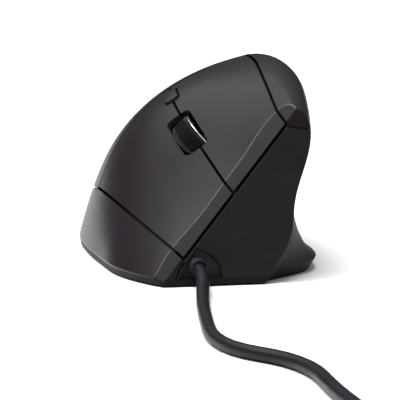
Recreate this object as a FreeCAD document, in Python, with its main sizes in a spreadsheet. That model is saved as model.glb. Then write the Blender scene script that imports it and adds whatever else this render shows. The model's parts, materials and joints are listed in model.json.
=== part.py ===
import FreeCAD, Part
import Sketcher
import math
import os

# Right-handed vertical mouse with a corded USB plug, in millimetres.
# +Z is up, -Y is the front where the cord leaves, +X is the thumb side.
# The origin lies on the desk under the middle of the housing.

V = FreeCAD.Vector
PLACE = FreeCAD.Placement
TURN = FreeCAD.Rotation
X_AXIS = V(1, 0, 0)
Y_AXIS = V(0, 1, 0)
Z_AXIS = V(0, 0, 1)
HUGE = 400.0

os.makedirs("parts", exist_ok=True)
doc = FreeCAD.newDocument("VerticalMouse")

# Driving dimensions

SIZES = [
    # housing
    ("wall", 2.0), ("base_top", 2.4), ("base_bottom", 0.6), ("inner_gap", 0.4), ("rear_y", 61.2), ("rear_start", 8.0),
    ("tilt", 48.0), ("axis_x", 1.0), ("under_finger", 0.5), ("under_thumb", 2.6),
    ("seam_width", 0.5), ("seam_depth", 0.7),
    # button field, measured along the tilted plane
    ("button_gap", 0.9), ("front_gap", 1.0), ("low_seam_u", -4.6), ("rear_seam_y", 12.0),
    ("groove_u", 21.6), ("groove_y", -49.5), ("groove_slope", 0.235), ("ledge_drop", 1.4),
    ("ledge_wall", 1.0), ("ledge_reach", 2.2), ("ledge_root", 2.5),
    ("thumb_seam_z", 47.3), ("thumb_seam_fall", 0.3), ("thumb_seam_side", 0.2),
    ("line_b_x", -19.3), ("line_b_slope", 0.42),
    ("band_round", 1.2), ("front_round", 0.8), ("rim_round", 0.4),
    # wheel
    ("wheel_y", -20.0), ("wheel_side", -1.2), ("wheel_n", 26.6),
    ("wheel_radius", 10.9), ("tyre_width", 6.0), ("tyre_depth", 2.2),
    ("rib_count", 60), ("rib_depth", 0.35), ("rib_width", 0.6), ("rib_end", 0.4), ("ring_width", 0.7), ("ring_depth", 1.6),
    ("ring_set", 0.4), ("axle_radius", 1.0), ("axle_start", -9.4), ("axle_length", 15.2), ("running_gap", 0.06),
    ("slot_width", 8.8), ("slot_length", 20.0), ("slot_corner", 2.0), ("slot_shift", -1.6),
    ("carriage_n", 12.0), ("carriage_floor", 1.4), ("carriage_width", 14.0), ("carriage_length", 22.4),
    ("arm_wall", 1.4),
    ("arm_gap", 0.8), ("arm_length", 9.0), ("arm_rise", 3.0), ("guide_radius", 1.5),
    ("guide_y", 9.3), ("hub_rim", 1.5), ("hub_web", 2.0), ("hub_boss", 2.6), ("hub_boss_length", 8.0),
    ("guide_gap", 0.15), ("guide_length", 6.0), ("wheel_travel", 0.5),
    ("encoder_wall", 4.4), ("encoder_length", 10.0), ("encoder_height", 11.0), ("encoder_low", -8.0),
    # resolution button behind the wheel
    ("dpi_y", 2.0), ("dpi_width", 4.4), ("dpi_length", 8.6), ("dpi_gap", 0.5), ("dpi_proud", 0.7),
    ("dpi_flange", 0.8), ("dpi_flange_lip", 1.1), ("dpi_guide_wall", 1.0), ("dpi_guide_gap", 0.25),
    ("dpi_board_x", 13.0), ("dpi_board_y", 11.0), ("dpi_guide_n", 37.4),
    # tilted deck and boards
    ("deck_wall", 2.0), ("low_deck_n", 6.4), ("low_deck_u0", -2.0), ("low_deck_u1", 39.0),
    ("low_deck_y0", -46.0), ("rib_y", -5.0), ("up_deck_n", 28.0), ("up_deck_u0", 4.0), ("up_deck_u1", 51.5),
    ("up_deck_y1", 17.0), ("board_wall", 1.6), ("board_edge", 0.5), ("post_radius", 2.5), ("post_gap", 0.4),
    ("side_wall_x", 17.0), ("side_wall", 1.6), ("side_wall_y0", -4.5), ("side_wall_y1", 26.5),
    ("side_wall_z1", 45.5), ("side_board_z0", 30.0), ("web_y0", 12.0), ("web_z0", 34.0), ("web_z1", 43.0),
    # switches
    ("switch_u", 5.8), ("switch_y", 12.8), ("switch_n", 6.5), ("plunger_width", 1.5), ("plunger_length", 3.0),
    ("plunger_rise", 0.9), ("press_gap", 0.15), ("index_u", 35.5), ("middle_u", 8.0), ("click_y", -37.0),
    ("tact_side", 6.0), ("tact_height", 3.5), ("tact_low", 1.1), ("tact_plunger", 1.7), ("tact_rise", 0.7),
    ("tact_gap", 0.25), ("press_post", 1.6),
    # hinge pins of the two long buttons
    ("pin_y", 7.0), ("pin_radius", 1.0), ("ear_wall", 2.0), ("ear_gap", 0.3), ("knuckle", 3.4),
    ("knuckle_depth", 4.0), ("index_pin_u", 46.5), ("index_pin_n", 32.3), ("middle_pin_u", 15.0),
    ("middle_pin_n", 36.0),
    # thumb buttons
    ("side_y", 10.5), ("side_z", 37.5), ("side_length", 13.0), ("side_height", 8.0), ("side_corner", 2.4),
    ("side_gap", 0.4), ("side_proud", 0.8), ("side_lip", 1.0), ("side_lip_gap", 0.3),
    # boards, sensor and feet
    ("main_z", 6.4), ("main_x0", -22.0), ("main_x1", 14.0), ("main_y0", -3.0), ("main_y1", 36.0),
    ("screw_x", 16.0), ("screw_y0", 1.5), ("screw_y1", 33.5), ("screw_mid", -4.0), ("standoff", 2.2),
    ("sensor_x", -2.0), ("sensor_y", 6.0), ("sensor_side", 10.0), ("sensor_height", 3.2),
    ("lens_x", 12.0), ("lens_y", 10.0), ("eye_x", 8.0), ("eye_y", 7.0), ("lens_gap", 0.2),
    ("chip_side", 7.0), ("chip_height", 0.9), ("chip_x", 3.0), ("chip_y", 26.0),
    ("header_x", -15.0), ("header_y", 1.5), ("header_wide", 8.0), ("header_long", 5.0), ("header_high", 5.0),
    ("lead_radius", 0.55), ("lead_step", 1.7), ("lead_z", 10.0),
    ("foot_sink", 0.2), ("foot_gap", 0.15), ("foot_top", 0.8),
    ("front_foot_x", -9.0), ("front_foot_y", -45.5), ("front_foot_wide", 20.0), ("front_foot_long", 7.0),
    ("rear_foot_x", 0.0), ("rear_foot_y", 47.0), ("rear_foot_wide", 28.0), ("rear_foot_long", 7.0),
    ("wing_foot_x", 27.0), ("wing_foot_y", -6.0), ("wing_foot_wide", 7.0), ("wing_foot_long", 20.0),
    ("foot_corner", 3.0),
    ("screw_radius", 1.0), ("screw_head", 1.9), ("screw_head_height", 0.9), ("screw_length", 8.0), ("screw_sink", 0.1),
    ("screw_gap", 0.15), ("screw_slot", 0.6), ("screw_slot_depth", 0.5),
    # cord, gland and plug
    ("cord_radius", 2.0), ("gland_x", -11.2), ("gland_z", 6.2), ("gland_hole_gap", 0.05),
    ("neck_radius", 2.6), ("collar_radius", 2.4), ("collar_length", 3.6), ("flange_wide", 8.6), ("flange_deep", 4.0),
    ("flange_start", 3.9), ("flange_high", 7.0), ("cord_in", 5.0),
    ("panel_recess", 0.8), ("panel_wall", 1.6), ("panel_gap", 0.15),
    ("coil_turns", 2.25), ("coil_pitch", 4.5), ("coil_inner", 16.5), ("coil_x", 17.0), ("coil_y", -280.0),
    ("coil_lift", 1.0), ("coil_dip", 1.3), ("coil_end", 4.0), ("tail_run", 14.0), ("tail_drop", 22.0), ("tie_wall", 0.8), ("tie_width", 6.0), ("tie_gap", 0.1),
    ("plug_width", 15.6), ("plug_height", 8.2), ("plug_length", 24.0), ("plug_corner", 2.0),
    ("boot_radius", 3.3), ("boot_tip", 2.5), ("boot_length", 9.0),
    ("usb_width", 12.0), ("usb_height", 4.5), ("usb_length", 18.6), ("usb_wall", 0.35), ("usb_root", 6.0),
    ("tongue_width", 11.1), ("tongue_height", 1.84), ("tongue_short", 0.5),
]

sheet = doc.addObject("Spreadsheet::Sheet", "Sizes")
for row, (alias, value) in enumerate(SIZES, start=1):
    sheet.set("A%d" % row, alias)
    sheet.set("B%d" % row, str(value))
    sheet.setAlias("B%d" % row, alias)
doc.recompute()


def size(alias):
    """The value of one named size, read from the sheet."""
    return float(sheet.get(alias))


# Frames. The button frame has x up the slope of the buttons, y to the back and z out of them.

TILT = math.radians(size("tilt"))
COS_T = math.cos(TILT)
SIN_T = math.sin(TILT)
SLANT = math.degrees(math.atan(size("groove_slope")))
BUTTONS = PLACE(V(size("axis_x"), 0, 0), TURN(Y_AXIS, -size("tilt")))
OUT = V(-SIN_T, 0, COS_T)


def tilted(u, y, n):
    """World point of a place given in the button frame."""
    return BUTTONS.multVec(V(u, y, n))


def groove_u(y):
    """Place of the groove between the two long buttons, along the slope, at a given y."""
    return size("groove_u") + size("groove_slope") * (y - size("groove_y"))


WHEEL_U = groove_u(size("wheel_y")) + size("wheel_side")
WHEEL = BUTTONS.multiply(PLACE(V(WHEEL_U, size("wheel_y"), size("wheel_n")), TURN(Z_AXIS, -SLANT)))
DPI = BUTTONS.multiply(PLACE(V(groove_u(size("dpi_y")), size("dpi_y"), 0), TURN(Z_AXIS, -SLANT)))
SIDE_FALL = math.degrees(math.atan(size("thumb_seam_fall")))
SIDE = PLACE(V(0, size("side_y"), size("side_z")), TURN(X_AXIS, -SIDE_FALL))


# Skin. Each station is a section across the mouse: the rim under the fingers, three heights of the
# button surface given in the button frame, the crest, the shoulder, the waist and the wing under the thumb.

STATIONS = [
    # y, finger rim, low seam (u, n), groove (u, n), top seam (u, n), crest, upper shoulder, shoulder, waist,
    # flare, wing rim
    (-66, (-17.0, 2.6), (-4.7, 14.5), (17.5, 13.0), (43.5, 15.0), (19.5, 42.5), (22.5, 40.0), (22.5, 34.0),
     (18.0, 18.0), (13.0, 10.5), (2.5, 3.4)),
    (-57, (-23.5, 2.8), (-4.7, 19.6), (19.8, 18.1), (45.8, 18.2), (21.2, 47.4), (24.4, 44.8), (25.2, 39.0),
     (20.2, 22.5), (18.6, 14.0), (13.2, 3.6)),
    (-50, (-27.6, 2.9), (-4.7, 23.4), (21.5, 21.5), (47.7, 21.0), (22.0, 51.5), (25.6, 49.0), (26.8, 43.0),
     (21.4, 22.5), (22.6, 13.0), (21.6, 3.8)),
    (-44, (-30.2, 3.0), (-4.6, 26.2), (23.0, 24.4), (49.6, 22.8), (22.6, 54.8), (26.8, 52.0), (28.5, 45.5),
     (22.6, 22.5), (25.2, 12.0), (28.6, 4.0)),
    (-35, (-32.8, 3.0), (-4.6, 29.8), (25.0, 28.6), (52.6, 25.0), (23.0, 58.7), (28.0, 56.2), (30.4, 49.5),
     (24.0, 22.5), (27.2, 11.0), (33.0, 4.0)),
    (-20, (-34.0, 3.0), (-4.5, 33.8), (28.5, 34.8), (57.0, 27.6), (23.8, 62.9), (29.9, 60.6), (32.9, 53.0),
     (25.4, 22.5), (28.6, 11.0), (35.0, 4.0)),
    (-6, (-34.6, 3.0), (-4.5, 35.8), (31.8, 39.0), (60.1, 28.6), (24.5, 65.0), (31.0, 62.0), (33.8, 53.5),
     (26.0, 22.5), (29.2, 11.0), (35.0, 4.0)),
    (8, (-34.6, 3.0), (-4.5, 36.4), (34.5, 40.4), (61.2, 28.0), (25.0, 64.8), (31.6, 61.4), (34.3, 53.0),
     (26.0, 22.5), (29.2, 11.0), (34.6, 4.0)),
]
REAR_ANGLES = (16, 32, 47, 60, 71, 80, 86, 89)
REAR_X = -1.0
REAR_Z = 3.0
REAR_WIDTH_POWER = 0.78
REAR_HEIGHT_POWER = 0.92


def on_parabola(a, b, c, u):
    """Height at u of the parabola through three (u, n) points."""
    first = (b[1] - a[1]) / (b[0] - a[0])
    second = (c[1] - b[1]) / (c[0] - b[0])
    bend = (second - first) / (c[0] - a[0])
    return a[1] + first * (u - a[0]) + bend * (u - a[0]) * (u - b[0])


def station_points(station):
    """The twelve points of one front section, from the finger rim over the crest to the wing rim."""
    y, rim, low, groove, top = station[:5]
    points = [V(rim[0], y, rim[1])]
    for u in (low[0], (low[0] + groove[0]) / 2, groove[0], (groove[0] + top[0]) / 2, top[0]):
        points.append(tilted(u, y, on_parabola(low, groove, top, u)))
    points += [V(x, y, z) for x, z in station[5:]]
    return points


def rear_points(last, angle, inset):
    """One section of the rounded back: the last front section drawn in as an ellipse closes."""
    across = math.cos(math.radians(angle))
    width = across ** REAR_WIDTH_POWER
    height = across ** REAR_HEIGHT_POWER
    y = size("rear_start") + (size("rear_y") - inset - size("rear_start")) * math.sin(math.radians(angle))
    return [V(REAR_X + (p.x - REAR_X) * width, y, REAR_Z + (p.z - REAR_Z) * height) for p in last]


def section_wire(points, inset, depth, foot):
    """Closed wire of a section, with its skin moved inwards by depth and its foot at the given height."""
    curve = Part.BSplineCurve()
    curve.interpolate(Points=points)
    if depth:
        moved = []
        for p in points:
            tangent = curve.tangent(curve.parameter(p))[0]
            moved.append(p - V(-tangent.z, 0, tangent.x).normalize() * depth)
        curve = Part.BSplineCurve()
        curve.interpolate(Points=moved)
        points = moved
    small = min(1.0, abs(points[-1].x - points[0].x) / 30.0)
    under_left = size("under_finger") * small if inset == 0 else 0.0
    under_right = size("under_thumb") * small if inset == 0 else 0.0
    left = V(points[0].x + under_left, points[0].y, foot)
    right = V(points[-1].x - under_right, points[-1].y, foot)
    return Part.Wire([curve.toShape(), Part.makeLine(points[-1], right), Part.makeLine(right, left),
                      Part.makeLine(left, points[0])])


def skin(inset):
    """The whole body of the mouse before its front is cut, moved inwards by inset."""
    foot = 0.0 if inset == 0 else -3.0
    fronts = [station_points(s) for s in STATIONS]
    wires = [section_wire(p, inset, inset, foot) for p in fronts]
    for angle in REAR_ANGLES:
        shrink = inset * math.cos(math.radians(angle))
        wires.append(section_wire(rear_points(fronts[-1], angle, inset), inset, shrink, foot))
    return Part.makeLoft(wires, True, False)


# Cutting planes. The front is one leaning plane; the chamfer band runs along its upper edge.

CORNER_HIGH = V(18.8, -48.5, 48.1)
CORNER_LOW = V(-15.5, -56.8, 8.8)
WAIST_FRONT = V(20.2, -54.6, 24.2)
FRONT_OUT = (CORNER_LOW - CORNER_HIGH).cross(WAIST_FRONT - CORNER_HIGH).normalize()
if FRONT_OUT.y > 0:
    FRONT_OUT = -FRONT_OUT
EDGE = (CORNER_LOW - CORNER_HIGH).normalize()
CHAMFER_OUT = EDGE.cross((OUT + Y_AXIS).normalize()).normalize()
if CHAMFER_OUT.dot(OUT) < 0:
    CHAMFER_OUT = -CHAMFER_OUT
SPLIT_DOWN = EDGE.cross(Y_AXIS).normalize()
if SPLIT_DOWN.z > 0:
    SPLIT_DOWN = -SPLIT_DOWN


def half_space(point, outward):
    """A huge block that fills the side of a plane to which outward points."""
    block = Part.makeBox(HUGE, HUGE, HUGE, V(-HUGE / 2, -HUGE / 2, 0))
    block.Placement = PLACE(point, TURN(Z_AXIS, outward))
    return block


def housing(inset):
    """The body with its leaning front and its chamfer band, moved inwards by inset."""
    shape = skin(inset)
    shape = shape.cut(half_space(CORNER_HIGH - FRONT_OUT * inset, FRONT_OUT))
    return shape.cut(half_space(CORNER_HIGH - CHAMFER_OUT * inset, CHAMFER_OUT))


def lies_on(face, point, normal):
    """True for a face that lies on the plane through a point."""
    low_u, high_u, low_v, high_v = face.ParameterRange
    out = face.normalAt((low_u + high_u) / 2, (low_v + high_v) / 2)
    return abs(abs(out.dot(normal)) - 1) < 1e-4 and abs((face.CenterOfMass - point).dot(normal)) < 1e-3


def edges_of(shape, point, normal):
    """Edges round the faces of a shape that lie on one plane."""
    return [e for f in shape.Faces if lies_on(f, point, normal) for e in f.Edges]


def without(edges, others):
    return [e for e in edges if not any(e.isSame(o) for o in others)]


def softened(shape):
    """The body with its chamfer band rounded into the skin and its front rounded into the sides."""
    front_edges = edges_of(shape, CORNER_HIGH, FRONT_OUT)
    band_edges = edges_of(shape, CORNER_HIGH, CHAMFER_OUT)
    shape = shape.makeFillet(size("band_round"), without(band_edges, front_edges))
    band_edges = edges_of(shape, CORNER_HIGH, CHAMFER_OUT)
    sides = without(edges_of(shape, CORNER_HIGH, FRONT_OUT), band_edges)
    sides = [e for e in sides if e.BoundBox.ZMax > 1.0 and e.Length > 5.0]
    return shape.makeFillet(size("front_round"), sides)


def rim_rounded(shape, face_at, face_out, rim_at, rim_out):
    """The rim between two planes of a shape, rounded off."""
    rim = edges_of(shape, rim_at, rim_out)
    edges = [e for e in edges_of(shape, face_at, face_out) if any(e.isSame(r) for r in rim)]
    return shape.makeFillet(size("rim_round"), edges) if edges else shape


wall = size("wall")
ledge_top = wall + size("ledge_drop")
outer = softened(housing(0.0))
beneath = housing(size("seam_depth"))
inner = housing(wall)
lip_level = housing(wall + size("side_lip_gap"))
ledge_level = housing(ledge_top)
ledge_under = housing(ledge_top + size("ledge_wall"))
print("housing volume %.0f, length %.1f, width %.1f, height %.1f" % (
    outer.Volume, outer.BoundBox.YLength, outer.BoundBox.XLength, outer.BoundBox.ZLength))

# Regions that share the skin out among the shells and buttons

UP_SLOPE = V(COS_T, 0, SIN_T)
button_gap = size("button_gap")
rear_seam = size("rear_seam_y")
FIELD_FRONT = -75.0
TOP_SEAM = [(s[4][0], s[0]) for s in STATIONS] + [(STATIONS[-1][4][0] + 0.2, rear_seam + 6.0)]


def line_through(points):
    """One edge through points: a line for two of them, else a smooth curve."""
    if len(points) == 2:
        return Part.makeLine(points[0], points[1])
    curve = Part.BSplineCurve()
    curve.interpolate(Points=points)
    return curve.toShape()


def field(left, right, y_end):
    """Prism square to the button plane between two seams, from ahead of the front back to y_end."""
    low = [V(u, y, -80) for u, y in left]
    high = [V(u, y, -80) for u, y in right]
    edges = [line_through(low), Part.makeLine(low[-1], high[-1]), line_through(high),
             Part.makeLine(high[0], low[0])]
    block = Part.Face(Part.Wire(edges)).extrude(V(0, 0, 220))
    keep = Part.makeBox(HUGE * 2, HUGE, HUGE * 2, V(-HUGE, y_end - HUGE, -HUGE))
    block = block.common(keep)
    block.Placement = BUTTONS
    return block


def seam_low(shift):
    return [(size("low_seam_u") + shift, FIELD_FRONT), (size("low_seam_u") + shift, rear_seam + 6.0)]


def seam_groove(shift):
    return [(groove_u(FIELD_FRONT) + shift, FIELD_FRONT), (groove_u(rear_seam + 6.0) + shift, rear_seam + 6.0)]


def seam_top(shift):
    front = [(TOP_SEAM[0][0] - 1.5 + shift, FIELD_FRONT)]
    return front + [(u + shift, y) for u, y in TOP_SEAM]


def above(height):
    """Everything above a level."""
    return Part.makeBox(HUGE, HUGE * 2, HUGE, V(-HUGE / 2, -HUGE, height))


THUMB_SEAM_AT = V(19.0, -48.7, size("thumb_seam_z"))
THUMB_SEAM_UP = V(size("thumb_seam_side"), size("thumb_seam_fall"), 1.0).normalize()
LINE_B_OUT = V(-1, 0, size("line_b_slope")).normalize()
LINE_B_AT = V(size("line_b_x"), 0, 0)

half_gap = button_gap / 2
shell = outer.cut(inner).common(above(size("base_top")))
finger_side = half_space(LINE_B_AT, LINE_B_OUT)
under_split = half_space(CORNER_HIGH + SPLIT_DOWN * size("front_gap"), SPLIT_DOWN)
over_split = half_space(CORNER_HIGH + SPLIT_DOWN * size("front_gap"), -SPLIT_DOWN)
below_low_seam = half_space(tilted(size("low_seam_u") - half_gap, 0, 0), -UP_SLOPE)
above_thumb_seam = half_space(THUMB_SEAM_AT, THUMB_SEAM_UP)
ahead = Part.makeBox(HUGE, HUGE, HUGE, V(-HUGE / 2, rear_seam + half_gap - HUGE, -HUGE / 2))

low_band = below_low_seam.common(over_split).common(ahead)
finger_region = below_low_seam.fuse(under_split.common(ahead)).common(finger_side).fuse(low_band)
finger_shape = shell.common(finger_region)
thumb_region = shell.cut(finger_side).cut(above_thumb_seam).cut(over_split.common(ahead))
thumb_shape = thumb_region


def opening(grow):
    """Region of the button field with its gaps, grown by a margin on all sides."""
    region = field(seam_low(-half_gap - grow), seam_top(half_gap + grow), rear_seam + half_gap + grow)
    return region.common(half_space(CORNER_HIGH + SPLIT_DOWN * (size("front_gap") + grow), -SPLIT_DOWN))


button_opening = opening(0.0)
cover_shape = shell.cut(finger_region).cut(thumb_region).cut(button_opening)

# A ledge under the edges of the buttons closes the view into their gaps
reach = size("ledge_reach")
root = inner.cut(ledge_under).common(opening(size("ledge_root")).cut(button_opening))
shelf = ledge_level.cut(ledge_under).common(button_opening.cut(opening(-reach)))
low_part = half_space(tilted(size("low_seam_u") - half_gap + reach, 0, 0), -UP_SLOPE)
front_part = half_space(CORNER_HIGH + SPLIT_DOWN * (size("front_gap") - reach), SPLIT_DOWN)
gland_room = Part.makeBox(size("flange_wide") + 1.4, 14, size("flange_high") + 0.7, V(
    size("gland_x") - size("flange_wide") / 2 - 0.7, CORNER_LOW.y - 1, size("base_top")))
ledge = root.fuse(shelf).common(above(size("base_top"))).cut(gland_room)
finger_shape = finger_shape.fuse(ledge.common(low_part))
thumb_shape = thumb_shape.fuse(ledge.cut(low_part).common(front_part))
cover_shape = cover_shape.fuse(ledge.cut(low_part).cut(front_part))

# Shadow grooves along the seams of the fixed shells
skin_layer = outer.cut(beneath)
groove = size("seam_width")
thumb_slab = half_space(THUMB_SEAM_AT, THUMB_SEAM_UP).cut(
    half_space(THUMB_SEAM_AT + THUMB_SEAM_UP * groove, THUMB_SEAM_UP))
line_slab = half_space(LINE_B_AT - LINE_B_OUT * groove, LINE_B_OUT).cut(half_space(LINE_B_AT, LINE_B_OUT))
low_seam_at = tilted(size("low_seam_u") - half_gap, 0, 0)
low_slab = half_space(low_seam_at, -UP_SLOPE).cut(half_space(low_seam_at - UP_SLOPE * groove, -UP_SLOPE))
cover_shape = cover_shape.cut(skin_layer.common(thumb_slab).cut(finger_side))
split_slab = under_split.cut(half_space(CORNER_HIGH + SPLIT_DOWN * (size("front_gap") + groove), SPLIT_DOWN))
thumb_shape = thumb_shape.cut(skin_layer.common(line_slab)).cut(skin_layer.common(split_slab).common(below_low_seam))
finger_shape = finger_shape.cut(skin_layer.common(low_slab).cut(ahead))

# The two long buttons with their wall, chamfer band and openings
button_shell = outer.cut(inner)
front_edge = half_space(CORNER_HIGH, -SPLIT_DOWN)
index_shape = button_shell.common(field(seam_groove(half_gap), seam_top(-half_gap), rear_seam - half_gap))
index_shape = index_shape.common(front_edge)
middle_shape = button_shell.common(field(seam_low(half_gap), seam_groove(-half_gap), rear_seam - half_gap))
middle_shape = middle_shape.common(front_edge)


def rounded_prism(width, length, corner, low, high, frame):
    """Upright prism with rounded corners, centred on its frame's z axis."""
    x, y, r = width / 2, length / 2, corner
    d = r * (1 - math.sqrt(0.5))
    edges = [
        Part.makeLine(V(-x + r, -y, 0), V(x - r, -y, 0)), Part.Arc(V(x - r, -y, 0), V(x - d, -y + d, 0), V(x, -y + r, 0)).toShape(),
        Part.makeLine(V(x, -y + r, 0), V(x, y - r, 0)), Part.Arc(V(x, y - r, 0), V(x - d, y - d, 0), V(x - r, y, 0)).toShape(),
        Part.makeLine(V(x - r, y, 0), V(-x + r, y, 0)), Part.Arc(V(-x + r, y, 0), V(-x + d, y - d, 0), V(-x, y - r, 0)).toShape(),
        Part.makeLine(V(-x, y - r, 0), V(-x, -y + r, 0)), Part.Arc(V(-x, -y + r, 0), V(-x + d, -y + d, 0), V(-x + r, -y, 0)).toShape(),
    ]
    block = Part.Face(Part.Wire(edges)).extrude(V(0, 0, high - low))
    block.translate(V(0, 0, low))
    block.Placement = frame.multiply(block.Placement)
    return block


SLOT = WHEEL.multiply(PLACE(V(0, size("slot_shift"), 0), TURN()))
wheel_slot = rounded_prism(size("slot_width"), size("slot_length"), size("slot_corner"), -4, 40, SLOT)
dpi_gap = size("dpi_gap")
dpi_slot = rounded_prism(size("dpi_width") + 2 * dpi_gap, size("dpi_length") + 2 * dpi_gap, 1.0, 0, 80, DPI)
index_shape = rim_rounded(index_shape, CORNER_HIGH, CHAMFER_OUT, CORNER_HIGH, SPLIT_DOWN)
middle_shape = rim_rounded(middle_shape, CORNER_HIGH, CHAMFER_OUT, CORNER_HIGH, SPLIT_DOWN)
index_shape = index_shape.cut(wheel_slot).cut(dpi_slot)
middle_shape = middle_shape.cut(wheel_slot).cut(dpi_slot)

switch_top = size("low_deck_n") + size("deck_wall") + size("board_wall") + size("switch_n")
plunger_top = switch_top + size("plunger_rise")


def press_post(u, y, n_low):
    """Round post under a long button that ends inside its wall."""
    post = Part.makeCylinder(size("press_post"), 60, V(u, y, n_low), Z_AXIS)
    post.Placement = BUTTONS
    return post.common(beneath)


def knuckle(u, n):
    """Block under the back of a long button with the bore of its hinge pin."""
    length, depth, reach = size("knuckle"), size("knuckle_depth"), 2.0
    block = Part.makeBox(length, depth, 40, V(u - length / 2, size("pin_y") - depth / 2, n - reach))
    bore = Part.makeCylinder(size("pin_radius") + size("running_gap"), length + 2,
                             V(u - length / 2 - 1, size("pin_y"), n), X_AXIS)
    block = block.cut(bore)
    block.Placement = BUTTONS
    return block.common(beneath)


def pin_room(u, n):
    """Room for a hinge pin and its ears in the wall of a long button."""
    reach = size("knuckle") / 2 + size("ear_gap") + size("ear_wall") + 0.5
    room = Part.makeCylinder(size("pin_radius") + size("ear_gap"), 2 * reach, V(u - reach, size("pin_y"), n), X_AXIS)
    room.Placement = BUTTONS
    return room


post_bottom = plunger_top + size("press_gap")
index_shape = index_shape.cut(pin_room(size("index_pin_u"), size("index_pin_n")))
middle_shape = middle_shape.cut(pin_room(size("middle_pin_u"), size("middle_pin_n")))
middle_shape = middle_shape.cut(gland_room.common(beneath))
index_shape = index_shape.fuse(press_post(size("index_u"), size("click_y"), post_bottom))
index_shape = index_shape.fuse(knuckle(size("index_pin_u"), size("index_pin_n")))
middle_shape = middle_shape.fuse(press_post(size("middle_u"), size("click_y"), post_bottom))
middle_shape = middle_shape.fuse(knuckle(size("middle_pin_u"), size("middle_pin_n")))

# Thumb buttons: two rounded keys in one row that stand proud of the thumb side
proud_skin = skin(-size("side_proud"))


def side_prism(middle, grow):
    """Prism along X with the outline of one thumb button, grown by a gap or a lip."""
    frame = SIDE.multiply(PLACE(V(0, middle, 0), TURN(Y_AXIS, 90)))
    height = size("side_height") + 2 * grow
    return rounded_prism(height, size("side_length") + 2 * grow, size("side_corner") + grow, 8, 60, frame)


side_step = size("side_length") / 2 + size("side_gap") / 2
side_wall_face = size("side_wall_x") + size("side_wall") + size("board_wall")
side_press = side_wall_face + size("tact_height") + size("tact_rise") + size("tact_gap")


def thumb_button(middle):
    """One thumb button with its retaining lip and its post to the switch."""
    outline = side_prism(middle, 0)
    key = proud_skin.cut(lip_level).common(outline)
    lip = lip_level.cut(ledge_level).common(outline.fuse(side_prism(middle, size("side_lip")).cut(
        side_prism(-middle, size("side_lip") + size("side_gap")))))
    start = SIDE.multVec(V(0, middle, 0))
    post = Part.makeCylinder(size("press_post"), 60, V(side_press, start.y, start.z), X_AXIS)
    post = post.common(lip_level)
    return key.fuse(lip).fuse(post)


forward_shape = thumb_button(-side_step)
back_shape = thumb_button(side_step)
side_opening = side_prism(-side_step, size("side_gap")).fuse(side_prism(side_step, size("side_gap")))
cover_shape = cover_shape.cut(side_opening)
thumb_shape = thumb_shape.cut(side_opening)

# Opening for the cord gland, in the plane of the front
FRONT_X = Z_AXIS.cross(FRONT_OUT).normalize()


def on_front(x, z):
    """Point of the front plane at a given x and z."""
    off = (FRONT_OUT.x * (x - CORNER_HIGH.x) + FRONT_OUT.z * (z - CORNER_HIGH.z)) / FRONT_OUT.y
    return V(x, CORNER_HIGH.y - off, z)


FRONT = PLACE(on_front(size("gland_x"), size("base_top")), TURN(FRONT_X, V(), FRONT_OUT, "ZXY"))
PANEL = [(-5.9, 0.0), (7.6, 0.0), (7.1, 3.8), (4.4, 7.2), (0.0, 9.6)]


def panel_prism(grow, low, high):
    """Prism on the house-shaped outline of the gland panel, grown by a clearance."""
    face = Part.Face(Part.makePolygon([V(x, y, 0) for x, y in PANEL + PANEL[:1]]))
    if grow:
        face = face.makeOffset2D(grow, 2)
    block = face.extrude(V(0, 0, high - low))
    block.translate(V(0, 0, low))
    block.Placement = FRONT.multiply(block.Placement)
    return block


panel_hole = panel_prism(size("panel_gap"), -6, 6)
thumb_shape = rim_rounded(thumb_shape, CORNER_HIGH, FRONT_OUT, CORNER_HIGH + SPLIT_DOWN * size("front_gap"), SPLIT_DOWN)
thumb_shape = thumb_shape.cut(panel_hole)
finger_shape = finger_shape.cut(panel_hole)

PIECES = []


def add_shape(label, shape):
    """A sub-part whose shape comes from the skin."""
    item = doc.addObject("Part::Feature", label)
    item.Label = label
    item.Shape = shape
    PIECES.append(item)
    return item


add_shape("finger_shell", finger_shape)
add_shape("thumb_shell", thumb_shape)
add_shape("top_cover", cover_shape)
add_shape("index_button", index_shape)
add_shape("middle_button", middle_shape)
add_shape("forward_button", forward_shape)
add_shape("back_button", back_shape)

# Base: the lowest slice of the body, with the sensor eye, foot recesses, standoffs and screw holes
base_top = size("base_top")
screw_r = size("screw_radius")
POSTS_LOW = [(4.0, -42.0), (17.0, -16.0)]
POSTS_HIGH = [(-10.0, 15.0), (8.0, 15.0)]
BOARD_SCREWS = [(size("screw_mid") - size("screw_x"), size("screw_y1")), (size("screw_mid") + size("screw_x"), size("screw_y0"))]
BOARD_RESTS = [(size("screw_mid") + size("screw_x"), size("screw_y1")), (size("screw_mid") - size("screw_x"), size("screw_y1") / 2)]


def foot_prism(name, grow, low, high):
    """Rounded prism on the outline of one foot."""
    place = PLACE(V(size(name + "_x"), size(name + "_y"), 0), TURN())
    return rounded_prism(size(name + "_wide") + 2 * grow, size(name + "_long") + 2 * grow,
                         size("foot_corner") + grow, low, high, place)


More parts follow.
